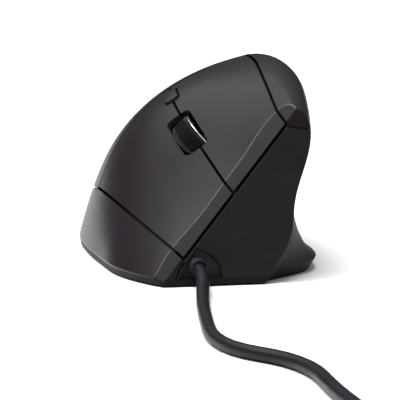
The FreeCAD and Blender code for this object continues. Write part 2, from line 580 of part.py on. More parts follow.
base_shape = outer.cut(above(base_top)).common(above(size("base_bottom")))
for foot in ("front_foot", "rear_foot", "wing_foot"):
    base_shape = base_shape.cut(foot_prism(foot, size("foot_gap"), 0, size("base_bottom") + size("foot_sink")))
base_shape = base_shape.cut(Part.makeBox(size("eye_x"), size("eye_y"), 9, V(
    size("sensor_x") - size("eye_x") / 2, size("sensor_y") - size("eye_y") / 2, -3)))
for x, y in BOARD_SCREWS + BOARD_RESTS:
    base_shape = base_shape.fuse(Part.makeCylinder(size("standoff"), size("main_z") - base_top, V(x, y, base_top)))
for x, y in BOARD_SCREWS:
    base_shape = base_shape.cut(Part.makeCylinder(screw_r, size("main_z"), V(x, y, 1.4)))
head_top = size("base_bottom") + size("screw_sink") + size("screw_head_height")
for x, y in POSTS_LOW + POSTS_HIGH:
    base_shape = base_shape.cut(Part.makeCylinder(screw_r + size("screw_gap"), 9, V(x, y, -3)))
    base_shape = base_shape.cut(Part.makeCylinder(size("screw_head") + size("screw_gap"), head_top + 3, V(x, y, -3)))


def screw(x, y, z, up):
    """Pan screw with a cross slot; its shank points up or down from the seat at z."""
    d = V(0, 0, 1 if up else -1)
    head = Part.makeCylinder(size("screw_head"), size("screw_head_height"), V(x, y, z), -d)
    slot = size("screw_slot")
    start = z - d.z * (size("screw_head_height") - size("screw_slot_depth"))
    low = min(start, start - d.z * 2)
    for a, b in ((2.6, slot), (slot, 2.6)):
        head = head.cut(Part.makeBox(a, b, 2, V(x - a / 2, y - b / 2, low)))
    return head.fuse(Part.makeCylinder(screw_r, size("screw_length") if up else 5.0, V(x, y, z), d))


base_screws = Part.makeCompound([screw(x, y, head_top, True) for x, y in POSTS_LOW + POSTS_HIGH])
board_top = size("main_z") + size("board_wall")
board_screws = Part.makeCompound([screw(x, y, board_top, False) for x, y in BOARD_SCREWS])

# Inner frame: two tilted decks joined by a rib, hinge ears, round posts and the wall of the side board


def deck_box(u0, u1, y0, y1, n0, n1):
    """Box given in the button frame."""
    block = Part.makeBox(u1 - u0, y1 - y0, n1 - n0, V(u0, y0, n0))
    block.Placement = BUTTONS
    return block


low_n = size("low_deck_n")
up_n = size("up_deck_n")
deck = size("deck_wall")
rib_y = size("rib_y")
frame_shape = deck_box(size("low_deck_u0"), size("low_deck_u1"), size("low_deck_y0"), rib_y, low_n, low_n + deck)
frame_shape = frame_shape.fuse(deck_box(size("up_deck_u0"), size("low_deck_u1"), rib_y - deck, rib_y, low_n, up_n + deck))
frame_shape = frame_shape.fuse(deck_box(size("up_deck_u0"), size("up_deck_u1"), rib_y - deck, size("up_deck_y1"), up_n, up_n + deck))
ear = size("ear_wall")
ear_at = size("knuckle") / 2 + size("ear_gap")
for u, n in ((size("index_pin_u"), size("index_pin_n")), (size("middle_pin_u"), size("middle_pin_n"))):
    for u0 in (u - ear_at - ear, u + ear_at):
        block = deck_box(u0, u0 + ear, size("pin_y") - 2.2, size("pin_y") + 2.2, up_n + deck, n + 1.5)
        frame_shape = frame_shape.fuse(block)
    bore = Part.makeCylinder(size("pin_radius"), 2 * (ear_at + ear) + 2, V(u - ear_at - ear - 1, size("pin_y"), n), X_AXIS)
    bore.Placement = BUTTONS
    frame_shape = frame_shape.cut(bore)
guide_out = size("dpi_flange_lip") + size("dpi_guide_gap") + size("dpi_guide_wall")
guide_in = size("dpi_flange_lip") + size("dpi_guide_gap")
dpi_w, dpi_l = size("dpi_width"), size("dpi_length")
collar = rounded_prism(dpi_w + 2 * guide_out, dpi_l + 2 * guide_out, 2.0, up_n + deck, size("dpi_guide_n"), DPI)
collar = collar.cut(rounded_prism(dpi_w + 2 * guide_in, dpi_l + 2 * guide_in, 0.4, up_n, 60, DPI))
frame_shape = frame_shape.fuse(collar)
under_low = deck_box(-60, 90, -90, 90, -90, low_n + deck / 2)
under_up = deck_box(-60, 90, -90, 90, -90, up_n + deck / 2)
for x, y in POSTS_LOW:
    frame_shape = frame_shape.fuse(Part.makeCylinder(size("post_radius"), 60, V(x, y, base_top)).common(under_low))
for x, y in POSTS_HIGH:
    frame_shape = frame_shape.fuse(Part.makeCylinder(size("post_radius"), 80, V(x, y, base_top)).common(under_up))
side_x, side_w = size("side_wall_x"), size("side_wall")
side_y0, side_y1 = size("side_wall_y0"), size("side_wall_y1")
frame_shape = frame_shape.fuse(Part.makeBox(side_w, side_y1 - side_y0, size("side_wall_z1") - base_top, V(side_x, side_y0, base_top)))
web = Part.makeBox(60, deck, size("web_z1") - size("web_z0"), V(side_x + side_w / 2 - 60, size("web_y0"), size("web_z0")))
frame_shape = frame_shape.fuse(web.common(under_up))
for x, y in POSTS_LOW + POSTS_HIGH:
    frame_shape = frame_shape.cut(Part.makeCylinder(screw_r, head_top + size("screw_length") - base_top + 0.4, V(x, y, base_top)))
frame_shape = frame_shape.common(ledge_level).cut(ledge)

# Resolution button: a small key on a flange that slides in the collar behind the wheel
dpi_tact_top = up_n + deck + size("board_wall") + size("tact_height")
dpi_press = dpi_tact_top + size("tact_rise") + size("tact_gap")
dpi_shape = rounded_prism(dpi_w, dpi_l, 1.0, dpi_press, 80, DPI).common(skin(-size("dpi_proud")))
flange = rounded_prism(dpi_w + 2 * size("dpi_flange_lip"), dpi_l + 2 * size("dpi_flange_lip"), 1.1,
                       dpi_press, dpi_press + size("dpi_flange"), DPI)
dpi_shape = dpi_shape.fuse(flange.common(lip_level))

# Gland panel in the opening at the foot of the front
recess = size("panel_recess")
panel_shape = panel_prism(0, -recess - size("panel_wall"), -recess).common(above(base_top))
exit_at = on_front(size("gland_x"), size("gland_z"))
panel_shape = panel_shape.cut(Part.makeCylinder(size("neck_radius") + size("gland_hole_gap"), 30,
                                                exit_at - Y_AXIS * 10, Y_AXIS))

add_shape("base_plate", base_shape)
add_shape("base_screws", base_screws)
add_shape("board_screws", board_screws)
add_shape("inner_frame", frame_shape)
add_shape("dpi_button", dpi_shape)
add_shape("gland_panel", panel_shape)

# Helpers for the parts that are built from sketches


def start_body(label, frame):
    """A new body in its own frame."""
    item = doc.addObject("PartDesign::Body", label)
    item.Label = label
    item.Placement = frame
    PIECES.append(item)
    return item


def sketch_on(item, role, lift):
    """Sketch on one of the body's own planes, lifted along the plane's normal."""
    plane = [f for f in item.Origin.OriginFeatures if f.Role == role][0]
    drawn = item.newObject("Sketcher::SketchObject", item.Label + "_sketch")
    drawn.AttachmentSupport = [(plane, "")]
    drawn.MapMode = "FlatFace"
    drawn.setExpression("AttachmentOffset.Base.z", lift)
    return drawn


def hold(drawn, kind, first, expression):
    """One dimension of a sketch, bound to the sheet."""
    number = drawn.addConstraint(Sketcher.Constraint(kind, *first, 1.0))
    drawn.setExpression("Constraints[%d]" % number, expression)


def rectangle(drawn, x, y, wide, long):
    """Rectangle centred on (x, y)."""
    n = drawn.GeometryCount
    corners = [V(0, 0, 0), V(10, 0, 0), V(10, 10, 0), V(0, 10, 0)]
    for i in range(4):
        drawn.addGeometry(Part.LineSegment(corners[i], corners[(i + 1) % 4]))
    for i in range(4):
        drawn.addConstraint(Sketcher.Constraint("Coincident", n + i, 2, n + (i + 1) % 4, 1))
    drawn.addConstraint(Sketcher.Constraint("Horizontal", n))
    drawn.addConstraint(Sketcher.Constraint("Horizontal", n + 2))
    drawn.addConstraint(Sketcher.Constraint("Vertical", n + 1))
    drawn.addConstraint(Sketcher.Constraint("Vertical", n + 3))
    hold(drawn, "DistanceX", (n, 1, n, 2), wide)
    hold(drawn, "DistanceY", (n + 1, 1, n + 1, 2), long)
    hold(drawn, "DistanceX", (-1, 1, n, 1), "(%s) - (%s) / 2" % (x, wide))
    hold(drawn, "DistanceY", (-1, 1, n, 1), "(%s) - (%s) / 2" % (y, long))


def circle(drawn, x, y, radius):
    """Circle centred on (x, y)."""
    n = drawn.addGeometry(Part.Circle(V(3, 4, 0), Z_AXIS, 1.0))
    hold(drawn, "Radius", (n,), radius)
    hold(drawn, "DistanceX", (-1, 1, n, 3), x)
    hold(drawn, "DistanceY", (-1, 1, n, 3), y)


def pad(item, drawn, length):
    """Material from a sketch, along its normal."""
    made = item.newObject("PartDesign::Pad", item.Label + "_pad")
    made.Profile = drawn
    made.setExpression("Length", length)
    item.Tip = made
    return made


def pocket(item, drawn, length):
    """Material taken away from a sketch, against its normal."""
    made = item.newObject("PartDesign::Pocket", item.Label + "_pocket")
    made.Profile = drawn
    made.setExpression("Length", length)
    item.Tip = made
    return made


def plate(item, x, y, wide, long, low, thick):
    """Block on the body's XY plane, centred on (x, y), from low up."""
    drawn = sketch_on(item, "XY_Plane", low)
    rectangle(drawn, x, y, wide, long)
    return pad(item, drawn, thick)


WORLD = PLACE()

# Feet
for label, name in (("glide_front", "front_foot"), ("glide_rear", "rear_foot"), ("glide_wing", "wing_foot")):
    glide = start_body(label, WORLD)
    pad_of = plate(glide, "Sizes.%s_x" % name, "Sizes.%s_y" % name, "Sizes.%s_wide" % name,
                   "Sizes.%s_long" % name, "0", "Sizes.foot_top")
    doc.recompute()
    upright = ["Edge%d" % (i + 1) for i, e in enumerate(pad_of.Shape.Edges)
               if abs(e.tangentAt(e.FirstParameter).z) > 0.9]
    rounded = glide.newObject("PartDesign::Fillet", label + "_fillet")
    rounded.Base = (pad_of, upright)
    rounded.setExpression("Radius", "Sizes.foot_corner")
    glide.Tip = rounded

# Strain relief: a block on the base behind the panel, a neck through it and a tapered collar
relief = start_body("strain_relief", PLACE(exit_at, TURN()))
drawn = sketch_on(relief, "XZ_Plane", "-Sizes.flange_start - Sizes.flange_deep")
rectangle(drawn, "0", "Sizes.base_top - Sizes.gland_z + Sizes.flange_high / 2", "Sizes.flange_wide", "Sizes.flange_high")
pad(relief, drawn, "Sizes.flange_deep")
drawn = sketch_on(relief, "XZ_Plane", "-Sizes.flange_start")
circle(drawn, "0", "0", "Sizes.neck_radius")
pad(relief, drawn, "Sizes.flange_start")
doc.recompute()
profile = sketch_on(relief, "YZ_Plane", "0")
n = profile.GeometryCount
line = [V(-3, 0, 0), V(-3, 2, 0), V(0, 3, 0), V(0, 0, 0)]
for i in range(4):
    profile.addGeometry(Part.LineSegment(line[i], line[(i + 1) % 4]))
for i in range(4):
    profile.addConstraint(Sketcher.Constraint("Coincident", n + i, 2, n + (i + 1) % 4, 1))
profile.addConstraint(Sketcher.Constraint("Vertical", n))
profile.addConstraint(Sketcher.Constraint("Vertical", n + 2))
profile.addConstraint(Sketcher.Constraint("Horizontal", n + 3))
profile.addConstraint(Sketcher.Constraint("Coincident", n + 2, 2, -1, 1))
hold(profile, "DistanceY", (n, 1, n, 2), "Sizes.collar_radius")
hold(profile, "DistanceX", (n, 1, n + 2, 2), "Sizes.collar_length")
hold(profile, "DistanceY", (n + 2, 2, n + 2, 1), "Sizes.neck_radius")
turned = relief.newObject("PartDesign::Revolution", "collar_turned")
turned.Profile = profile
turned.ReferenceAxis = (profile, ["H_Axis"])
turned.Angle = 360
relief.Tip = turned
drawn = sketch_on(relief, "XZ_Plane", "Sizes.collar_length + 1")
circle(drawn, "0", "0", "Sizes.cord_radius")
pocket(relief, drawn, "Sizes.collar_length + Sizes.flange_start + Sizes.flange_deep + 2")

# Hinge pins of the long buttons
for label, name in (("index_pin", "index"), ("middle_pin", "middle")):
    pin = start_body(label, BUTTONS)
    half = "(Sizes.knuckle / 2 + Sizes.ear_gap + Sizes.ear_wall)"
    drawn = sketch_on(pin, "YZ_Plane", "Sizes.%s_pin_u - %s" % (name, half))
    circle(drawn, "Sizes.pin_y", "Sizes.%s_pin_n" % name, "Sizes.pin_radius")
    pad(pin, drawn, "2 * " + half)

# Boards
board = start_body("button_board", BUTTONS)
edge_u = "(Sizes.low_deck_u1 - Sizes.low_deck_u0 - 2 * Sizes.board_edge)"
edge_y = "(Sizes.rib_y - Sizes.deck_wall - Sizes.low_deck_y0 - 2 * Sizes.board_edge)"
plate(board, "(Sizes.low_deck_u1 + Sizes.low_deck_u0) / 2", "(Sizes.rib_y - Sizes.deck_wall + Sizes.low_deck_y0) / 2",
      edge_u, edge_y, "Sizes.low_deck_n + Sizes.deck_wall", "Sizes.board_wall")

board = start_body("dpi_board", DPI)
plate(board, "0", "0", "Sizes.dpi_width + 2 * Sizes.dpi_flange_lip", "Sizes.dpi_length + 2 * Sizes.dpi_flange_lip",
      "Sizes.up_deck_n + Sizes.deck_wall", "Sizes.board_wall")

board = start_body("main_board", WORLD)
plate(board, "(Sizes.main_x0 + Sizes.main_x1) / 2", "(Sizes.main_y0 + Sizes.main_y1) / 2",
      "Sizes.main_x1 - Sizes.main_x0", "Sizes.main_y1 - Sizes.main_y0", "Sizes.main_z", "Sizes.board_wall")
drawn = sketch_on(board, "XY_Plane", "Sizes.main_z + Sizes.board_wall")
for x, y in POSTS_HIGH:
    circle(drawn, str(x), str(y), "Sizes.post_radius + Sizes.post_gap")
for x, y in BOARD_SCREWS:
    circle(drawn, str(x), str(y), "Sizes.screw_radius + Sizes.screw_gap")
rectangle(drawn, "Sizes.sensor_x", "Sizes.sensor_y", "Sizes.eye_x - 2", "Sizes.eye_y - 2")
pocket(board, drawn, "Sizes.board_wall + 1")

board = start_body("side_board", WORLD)
plate(board, "Sizes.side_wall_x + Sizes.side_wall + Sizes.board_wall / 2", "(Sizes.side_wall_y0 + Sizes.side_wall_y1) / 2",
      "Sizes.board_wall", "Sizes.side_wall_y1 - Sizes.side_wall_y0 - 2 * Sizes.board_edge",
      "Sizes.side_board_z0", "Sizes.side_wall_z1 - Sizes.side_board_z0")

# Click switches of the long buttons, each with its plunger
SWITCH_LOW = "(Sizes.low_deck_n + Sizes.deck_wall + Sizes.board_wall)"
for name in ("index", "middle"):
    u_at, y_at = "Sizes.%s_u" % name, "Sizes.click_y"
    case = start_body(name + "_switch", BUTTONS)
    plate(case, u_at, y_at, "Sizes.switch_u", "Sizes.switch_y", SWITCH_LOW, "Sizes.switch_n")
    drawn = sketch_on(case, "XY_Plane", SWITCH_LOW + " + Sizes.switch_n")
    rectangle(drawn, u_at, y_at, "Sizes.plunger_width + 0.3", "Sizes.plunger_length + 0.3")
    pocket(case, drawn, "1.2")
    plunger = start_body(name + "_plunger", BUTTONS)
    plate(plunger, u_at, y_at, "Sizes.plunger_width", "Sizes.plunger_length",
          SWITCH_LOW + " + Sizes.switch_n - 0.35", "Sizes.plunger_rise + 0.35")


def tact(label, frame, height, case_low, plunger_label):
    """Small square switch with a round plunger that stands out of its cap."""
    case = start_body(label, frame)
    plate(case, "0", "0", "Sizes.tact_side", "Sizes.tact_side", case_low, height)
    drawn = sketch_on(case, "XY_Plane", "%s + %s" % (case_low, height))
    circle(drawn, "0", "0", "Sizes.tact_plunger + 0.15")
    pocket(case, drawn, "0.8")
    plunger = start_body(plunger_label, frame)
    drawn = sketch_on(plunger, "XY_Plane", "%s + %s - 0.3" % (case_low, height))
    circle(drawn, "0", "0", "Sizes.tact_plunger")
    pad(plunger, drawn, "Sizes.tact_rise + 0.3")


tact("dpi_switch", DPI, "Sizes.tact_height", "(Sizes.up_deck_n + Sizes.deck_wall + Sizes.board_wall)", "dpi_plunger")
WHEEL_FOOT = BUTTONS.multiply(PLACE(V(WHEEL_U, size("wheel_y"), 0), TURN(Z_AXIS, -SLANT)))
tact("wheel_switch", WHEEL_FOOT, "Sizes.tact_low", SWITCH_LOW, "wheel_plunger")
for name, middle in (("forward", -side_step), ("back", side_step)):
    start = SIDE.multVec(V(0, middle, 0))
    tact(name + "_switch", PLACE(V(side_wall_face, start.y, start.z), TURN(Y_AXIS, 90)), "Sizes.tact_height", "0",
         name + "_plunger")

# Wheel: ribbed tyre with a plain shoulder, hub, bright ring and the axle, all on the wheel's own X axis
WHEEL_SIDE = "(Sizes.tyre_width / 2)"
tyre = start_body("wheel_tyre", WHEEL)
drawn = sketch_on(tyre, "YZ_Plane", "-" + WHEEL_SIDE + " - Sizes.ring_width")
circle(drawn, "0", "0", "Sizes.wheel_radius")
circle(drawn, "0", "0", "Sizes.wheel_radius - Sizes.tyre_depth")
pad(tyre, drawn, "Sizes.tyre_width + Sizes.ring_width")
drawn = sketch_on(tyre, "YZ_Plane", WHEEL_SIDE + " + 1")
rectangle(drawn, "0", "Sizes.wheel_radius + 0.5", "2 * pi * Sizes.wheel_radius / Sizes.rib_count - Sizes.rib_width",
          "2 * Sizes.rib_depth + 1")
cut = pocket(tyre, drawn, "Sizes.tyre_width + 1 - Sizes.rib_end")
ribs = tyre.newObject("PartDesign::PolarPattern", "tyre_ribs")
ribs.Originals = [cut]
ribs.Axis = (drawn, ["N_Axis"])
ribs.Angle = 360
tyre.Tip = ribs
ribs.setExpression("Occurrences", "Sizes.rib_count")

hub = start_body("wheel_hub", WHEEL)
for low, thick, radius in (("-" + WHEEL_SIDE, "Sizes.tyre_width", "Sizes.wheel_radius - Sizes.tyre_depth"),
                           ("-Sizes.hub_boss_length / 2", "Sizes.hub_boss_length", "Sizes.hub_boss")):
    drawn = sketch_on(hub, "YZ_Plane", low)
    circle(drawn, "0", "0", radius)
    pad(hub, drawn, thick)
for low in (WHEEL_SIDE, "-Sizes.hub_web / 2"):
    drawn = sketch_on(hub, "YZ_Plane", low)
    circle(drawn, "0", "0", "Sizes.wheel_radius - Sizes.tyre_depth - Sizes.hub_rim")
    circle(drawn, "0", "0", "Sizes.hub_boss")
    pocket(hub, drawn, "Sizes.tyre_width / 2 - Sizes.hub_web / 2")
drawn = sketch_on(hub, "YZ_Plane", "Sizes.hub_boss_length")
circle(drawn, "0", "0", "Sizes.axle_radius")
pocket(hub, drawn, "2 * Sizes.hub_boss_length")

outside = doc.addObject("Part::Cylinder", "ring_outside")
outside.setExpression("Radius", "Sizes.wheel_radius - Sizes.ring_set")
inside = doc.addObject("Part::Cylinder", "ring_inside")
inside.setExpression("Radius", "Sizes.wheel_radius - Sizes.ring_set - Sizes.ring_depth")
for item in (outside, inside):
    item.setExpression("Height", "Sizes.ring_width")
    item.Placement = PLACE(V(), TURN(Y_AXIS, 90))
    item.setExpression("Placement.Base.x", "Sizes.tyre_width / 2")
ring = doc.addObject("Part::Cut", "wheel_ring")
ring.Base = outside
ring.Tool = inside
ring.Label = "wheel_ring"
ring.Placement = WHEEL
PIECES.append(ring)

axle = start_body("wheel_axle", WHEEL)
drawn = sketch_on(axle, "YZ_Plane", "Sizes.axle_start")
circle(drawn, "0", "0", "Sizes.axle_radius")
pad(axle, drawn, "Sizes.axle_length")

FLOOR_LOW = "(Sizes.carriage_n - Sizes.wheel_n)"
ARM_AT = "(Sizes.tyre_width / 2 + Sizes.ring_width + Sizes.arm_gap)"
carriage = start_body("wheel_carriage", WHEEL)
plate(carriage, "0", "0", "Sizes.carriage_width", "Sizes.carriage_length", FLOOR_LOW, "Sizes.carriage_floor")
for sign in ("", "-"):
    plate(carriage, "%s(%s + Sizes.arm_wall / 2)" % (sign, ARM_AT), "0", "Sizes.arm_wall", "Sizes.arm_length", FLOOR_LOW,
          "Sizes.arm_rise - " + FLOOR_LOW)
drawn = sketch_on(carriage, "YZ_Plane", ARM_AT + " + Sizes.arm_wall + 1")
circle(drawn, "0", "0", "Sizes.axle_radius + Sizes.running_gap")
pocket(carriage, drawn, "2 * (" + ARM_AT + " + Sizes.arm_wall + 1)")
drawn = sketch_on(carriage, "XY_Plane", FLOOR_LOW + " + Sizes.carriage_floor + 1")
circle(drawn, "0", "Sizes.guide_y", "Sizes.guide_radius + Sizes.guide_gap")
circle(drawn, "0", "-Sizes.guide_y", "Sizes.guide_radius + Sizes.guide_gap")
pocket(carriage, drawn, "Sizes.carriage_floor + 2")

encoder = start_body("wheel_encoder", WHEEL)
plate(encoder, "-(%s + Sizes.arm_wall + Sizes.encoder_wall / 2)" % ARM_AT, "0", "Sizes.encoder_wall", "Sizes.encoder_length",
      "Sizes.encoder_low", "Sizes.encoder_height")
drawn = sketch_on(encoder, "YZ_Plane", "-(%s + Sizes.arm_wall) + 1" % ARM_AT)
circle(drawn, "0", "0", "Sizes.axle_radius + Sizes.running_gap")
pocket(encoder, drawn, "Sizes.encoder_wall + 2")

guides = doc.addObject("Part::Compound", "wheel_guides")
guide_links = []
for side, sign in (("front", -1), ("back", 1)):
    rod = doc.addObject("Part::Cylinder", side + "_guide")
    rod.setExpression("Radius", "Sizes.guide_radius")
    rod.setExpression("Height", "Sizes.guide_length")
    rod.setExpression("Placement.Base.y", "%d * Sizes.guide_y" % sign)
    rod.setExpression("Placement.Base.z", SWITCH_LOW)
    guide_links.append(rod)
guides.Links = guide_links
guides.Label = "wheel_guides"
guides.Placement = WHEEL_FOOT
PIECES.append(guides)

# Sensor, control chip and lead header on the main board
lens = start_body("sensor_lens", WORLD)
plate(lens, "Sizes.sensor_x", "Sizes.sensor_y", "Sizes.lens_x", "Sizes.lens_y", "Sizes.base_top", "Sizes.main_z - Sizes.base_top")
plate(lens, "Sizes.sensor_x", "Sizes.sensor_y", "Sizes.eye_x - 2 * Sizes.lens_gap", "Sizes.eye_y - 2 * Sizes.lens_gap",
      "Sizes.base_bottom + Sizes.foot_sink", "Sizes.base_top - Sizes.base_bottom")
BOARD_TOP = "(Sizes.main_z + Sizes.board_wall)"
chip = start_body("sensor_chip", WORLD)
plate(chip, "Sizes.sensor_x", "Sizes.sensor_y", "Sizes.sensor_side", "Sizes.sensor_side", BOARD_TOP, "Sizes.sensor_height")
chip = start_body("control_chip", WORLD)
plate(chip, "Sizes.chip_x", "Sizes.chip_y", "Sizes.chip_side", "Sizes.chip_side", BOARD_TOP, "Sizes.chip_height")
header = start_body("lead_header", WORLD)
plate(header, "Sizes.header_x", "Sizes.header_y", "Sizes.header_wide", "Sizes.header_long", BOARD_TOP, "Sizes.header_high")

# Cord. The free stretch is straight runs joined by arcs, the rest lies in a tied coil of piled loops.
cord_r = size("cord_radius")
relief_end = exit_at.y + size("flange_start") + size("flange_deep")
coil_out = size("coil_inner") + size("coil_turns") * size("coil_pitch")
coil_z = cord_r + size("coil_lift")
coil_x, coil_y = size("coil_x"), size("coil_y")
coil_start_y = coil_y + size("coil_end")
ROUTE = [V(exit_at.x, exit_at.y + size("cord_in"), exit_at.z), V(exit_at.x, -66.5, exit_at.z - 0.2), V(-15.0, -81.0, cord_r),
         V(-20.3, -105.5, cord_r), V(-27.7, -149.8, cord_r), V(-8.0, -172.3, cord_r), V(-10.4, -209.0, cord_r),
         V(coil_x - coil_out, -243.0, coil_z), V(coil_x - coil_out, coil_start_y, coil_z)]


def rounded_run(points, name):
    """Edges of a polyline whose corners are tangent arcs."""
    edges = []
    last = points[0]
    radii = []
    length = 0.0
    for before, at, after in zip(points, points[1:], points[2:]):
        a, b = (before - at), (after - at)
        shorter = min(a.Length, b.Length)
        a.normalize()
        b.normalize()
        half = math.pi / 2 - a.getAngle(b) / 2
        radius = 0.45 * shorter / math.tan(half)
        cut_back = radius * math.tan(half)
        start, end = at + a * cut_back, at + b * cut_back
        inward = (a + b).normalize()
        middle = at + inward * (radius / math.cos(half) - radius)
        edges.append(Part.LineSegment(last, start).toShape())
        arc = Part.Arc(start, middle, end).toShape()
        edges.append(arc)
        length += (start - last).Length + arc.Length
        radii.append(round(radius, 1))
        last = end
    edges.append(Part.LineSegment(last, points[-1]).toShape())
    length += (points[-1] - last).Length
    print("%s radii %s, length %.1f" % (name, radii, length))
    return edges, length


def tube(edges, length, start, direction, radius, name):
    """Round tube along joined edges."""
    ring = Part.Wire([Part.Circle(start, direction, radius).toShape()])
    shape = Part.Wire(edges).makePipeShell([ring], True, False)
    expected = math.pi * radius ** 2 * length
    print("%s tube volume %.0f against %.0f" % (name, shape.Volume, expected))
    return shape


free_edges, free_length = rounded_run(ROUTE, "cord")
free_shape = tube(free_edges, free_length, ROUTE[0], ROUTE[1] - ROUTE[0], cord_r, "cord")

# Coil: four layers that spiral in and out, one layer up in the half turn where the spiral turns back
turns = size("coil_turns")
pitch = size("coil_pitch")


def coil_place(turn):
    """Point of the coil's centre line after a number of turns."""
    layer, along = divmod(turn, turns + 0.5)
    layer = int(layer)
    inner_r, dip = size("coil_inner"), size("coil_dip")
    inward = layer % 2 == 0
    if along <= turns:
        radius = coil_out - pitch * along if inward else inner_r + pitch * along
        height = coil_z + pitch * layer
    else:
        half = (along - turns) * 2
        bulge = dip * math.sin(math.pi * half)
        radius = inner_r - bulge if inward else coil_out + bulge
        height = coil_z + pitch * (layer + (1 - math.cos(math.pi * half)) / 2)
    angle = math.pi + 2 * math.pi * turn
    return V(coil_x + radius * math.cos(angle), coil_y + radius * math.sin(angle), height)


def coil_heading(turn):
    """Direction of the coil's centre line."""
    step = 0.0005
    low, high = max(turn - step, 0.0), min(turn + step, coil_total)
    return (coil_place(high) - coil_place(low)).normalize()


coil_total = 4 * turns + 1.5
coil_edges = []
first = V(coil_x - coil_out, coil_start_y, coil_z)
begin = coil_place(0)
coil_edges.append(Part.LineSegment(first, begin).toShape())
p0, t0 = begin, V(0, -1, 0)
steps = int(round(coil_total * 4))
for k in range(1, steps + 1):
    p1 = coil_place(k / 4.0)
    t1 = coil_heading(k / 4.0) if k < steps else V(0, 1, 0)
    across = p1 - p0
    both = t0 + t1
    dot = across.dot(both)
    room = 2 * (1 - t0.dot(t1))
    reach = (-dot + math.sqrt(dot * dot + room * across.dot(across))) / room
    join = (p0 + p1 + (t0 - t1) * reach) * 0.5
    for a, ta, b in ((p0, t0, join), (join, None, p1)):
        if ta is None:
            ta = (p1 - t1 * reach - join).normalize()
        chord = b - a
        side = chord - ta * chord.dot(ta)
        sweep = 2 * math.atan2(side.Length, chord.dot(ta))
        radius = chord.Length / (2 * math.sin(sweep / 2))
        centre = a + side.normalize() * radius
        middle = centre - side * radius * math.cos(sweep / 2) + ta * radius * math.sin(sweep / 2)
        coil_edges.append(Part.Arc(a, middle, b).toShape())
    p0, t0 = p1, t1
last = p0 + V(0, size("coil_end"), 0)
coil_edges.append(Part.LineSegment(p0, last).toShape())
coil_wire = Part.Wire(coil_edges)
coil_length = coil_wire.Length
coil_shape = tube(coil_edges, coil_length, first, V(0, -1, 0), cord_r, "coil")

samples = []
for k in range(int(coil_total * 72) + 1):
    samples.append(coil_place(k / 72.0))
least = min((samples[i] - samples[j]).Length for i in range(len(samples)) for j in range(i + 30, len(samples)))
print("coil gap to itself %.2f, layers %d, turns %.2f, length %.0f" % (least - 2 * cord_r, 4, coil_total, coil_length))

# Tail down from the coil to the plug, which lies on the desk beside it
plug_z = size("plug_height") / 2
run, drop = size("tail_run"), size("tail_drop")
TAIL = [last, last + V(0, run, 0), V(last.x, last.y + run + drop, plug_z), V(last.x, last.y + 2 * run + drop, plug_z)]
tail_edges, tail_length = rounded_run(TAIL, "tail")
tail_shape = tube(tail_edges, tail_length, TAIL[0], Y_AXIS, cord_r, "tail")
print("whole cord %.0f long" % (free_length + coil_length + tail_length))

# Tie: a flat strap round the coil's section on the side of the mouse
tie_in = size("coil_inner") - cord_r - 0.3 - size("tie_gap")
tie_out = coil_out + cord_r + size("tie_gap")
tie_low = coil_z - cord_r - size("tie_gap")
tie_high = coil_z + 3 * pitch + cord_r + size("tie_gap")
strap, strap_wide = size("tie_wall"), size("tie_width")
tie_shape = Part.makeBox(strap_wide, tie_out - tie_in + 2 * strap, tie_high - tie_low + 2 * strap,
                         V(coil_x - strap_wide / 2, coil_y + tie_in - strap, tie_low - strap))
tie_shape = tie_shape.cut(Part.makeBox(strap_wide + 2, tie_out - tie_in, tie_high - tie_low,
                                       V(coil_x - strap_wide / 2 - 1, coil_y + tie_in, tie_low)))

# Leads from the cord to the header on the main board
lead_shapes = []
header_front = size("header_y") - size("header_long") / 2
for k in range(4):
    shift = (k - 1.5) * size("lead_step")
    narrow = (k - 1.5) * 1.3
    a = V(exit_at.x + narrow, relief_end, exit_at.z)
    d = V(size("header_x") + shift, header_front, size("lead_z"))
    curve = Part.BezierCurve()
    curve.setPoles([a, a + V(0, 16, 0), d - V(0, 16, 0), d])
    ring = Part.Wire([Part.Circle(a, Y_AXIS, size("lead_radius")).toShape()])
    lead_shapes.append(Part.Wire([curve.toShape()]).makePipeShell([ring], True, False))

add_shape("cord", free_shape)
add_shape("cord_coil", coil_shape)
add_shape("cord_tail", tail_shape)
add_shape("cord_tie", tie_shape)
add_shape("cord_leads", Part.makeCompound(lead_shapes))

# Plug, along +Y from the end of the tail
PLUG = PLACE(TAIL[-1], TURN(X_AXIS, -90))
boot = doc.addObject("Part::Cone", "boot_taper")
boot.setExpression("Radius1", "Sizes.boot_tip")
boot.setExpression("Radius2", "Sizes.boot_radius")
boot.setExpression("Height", "Sizes.boot_length")
boot.Label = "plug_boot"
boot.Placement = PLUG
PIECES.append(boot)

plug = start_body("plug_body", PLUG)
pad_of = plate(plug, "0", "0", "Sizes.plug_width", "Sizes.plug_height", "Sizes.boot_length", "Sizes.plug_length")
doc.recompute()
along = ["Edge%d" % (i + 1) for i, e in enumerate(pad_of.Shape.Edges) if abs(e.tangentAt(e.FirstParameter).z) > 0.9]
rounded = plug.newObject("PartDesign::Fillet", "plug_fillet")
rounded.Base = (pad_of, along)
rounded.setExpression("Radius", "Sizes.plug_corner")
plug.Tip = rounded
PLUG_FRONT = "(Sizes.boot_length + Sizes.plug_length)"
drawn = sketch_on(plug, "XY_Plane", PLUG_FRONT)
rectangle(drawn, "0", "0", "Sizes.usb_width", "Sizes.usb_height")
pocket(plug, drawn, "Sizes.usb_root")

metal = start_body("plug_shell", PLUG)
plate(metal, "0", "0", "Sizes.usb_width", "Sizes.usb_height", PLUG_FRONT + " - Sizes.usb_root", "Sizes.usb_length + Sizes.usb_root")
drawn = sketch_on(metal, "XY_Plane", PLUG_FRONT + " + Sizes.usb_length")
rectangle(drawn, "0", "0", "Sizes.usb_width - 2 * Sizes.usb_wall", "Sizes.usb_height - 2 * Sizes.usb_wall")
pocket(metal, drawn, "Sizes.usb_length + Sizes.usb_root")

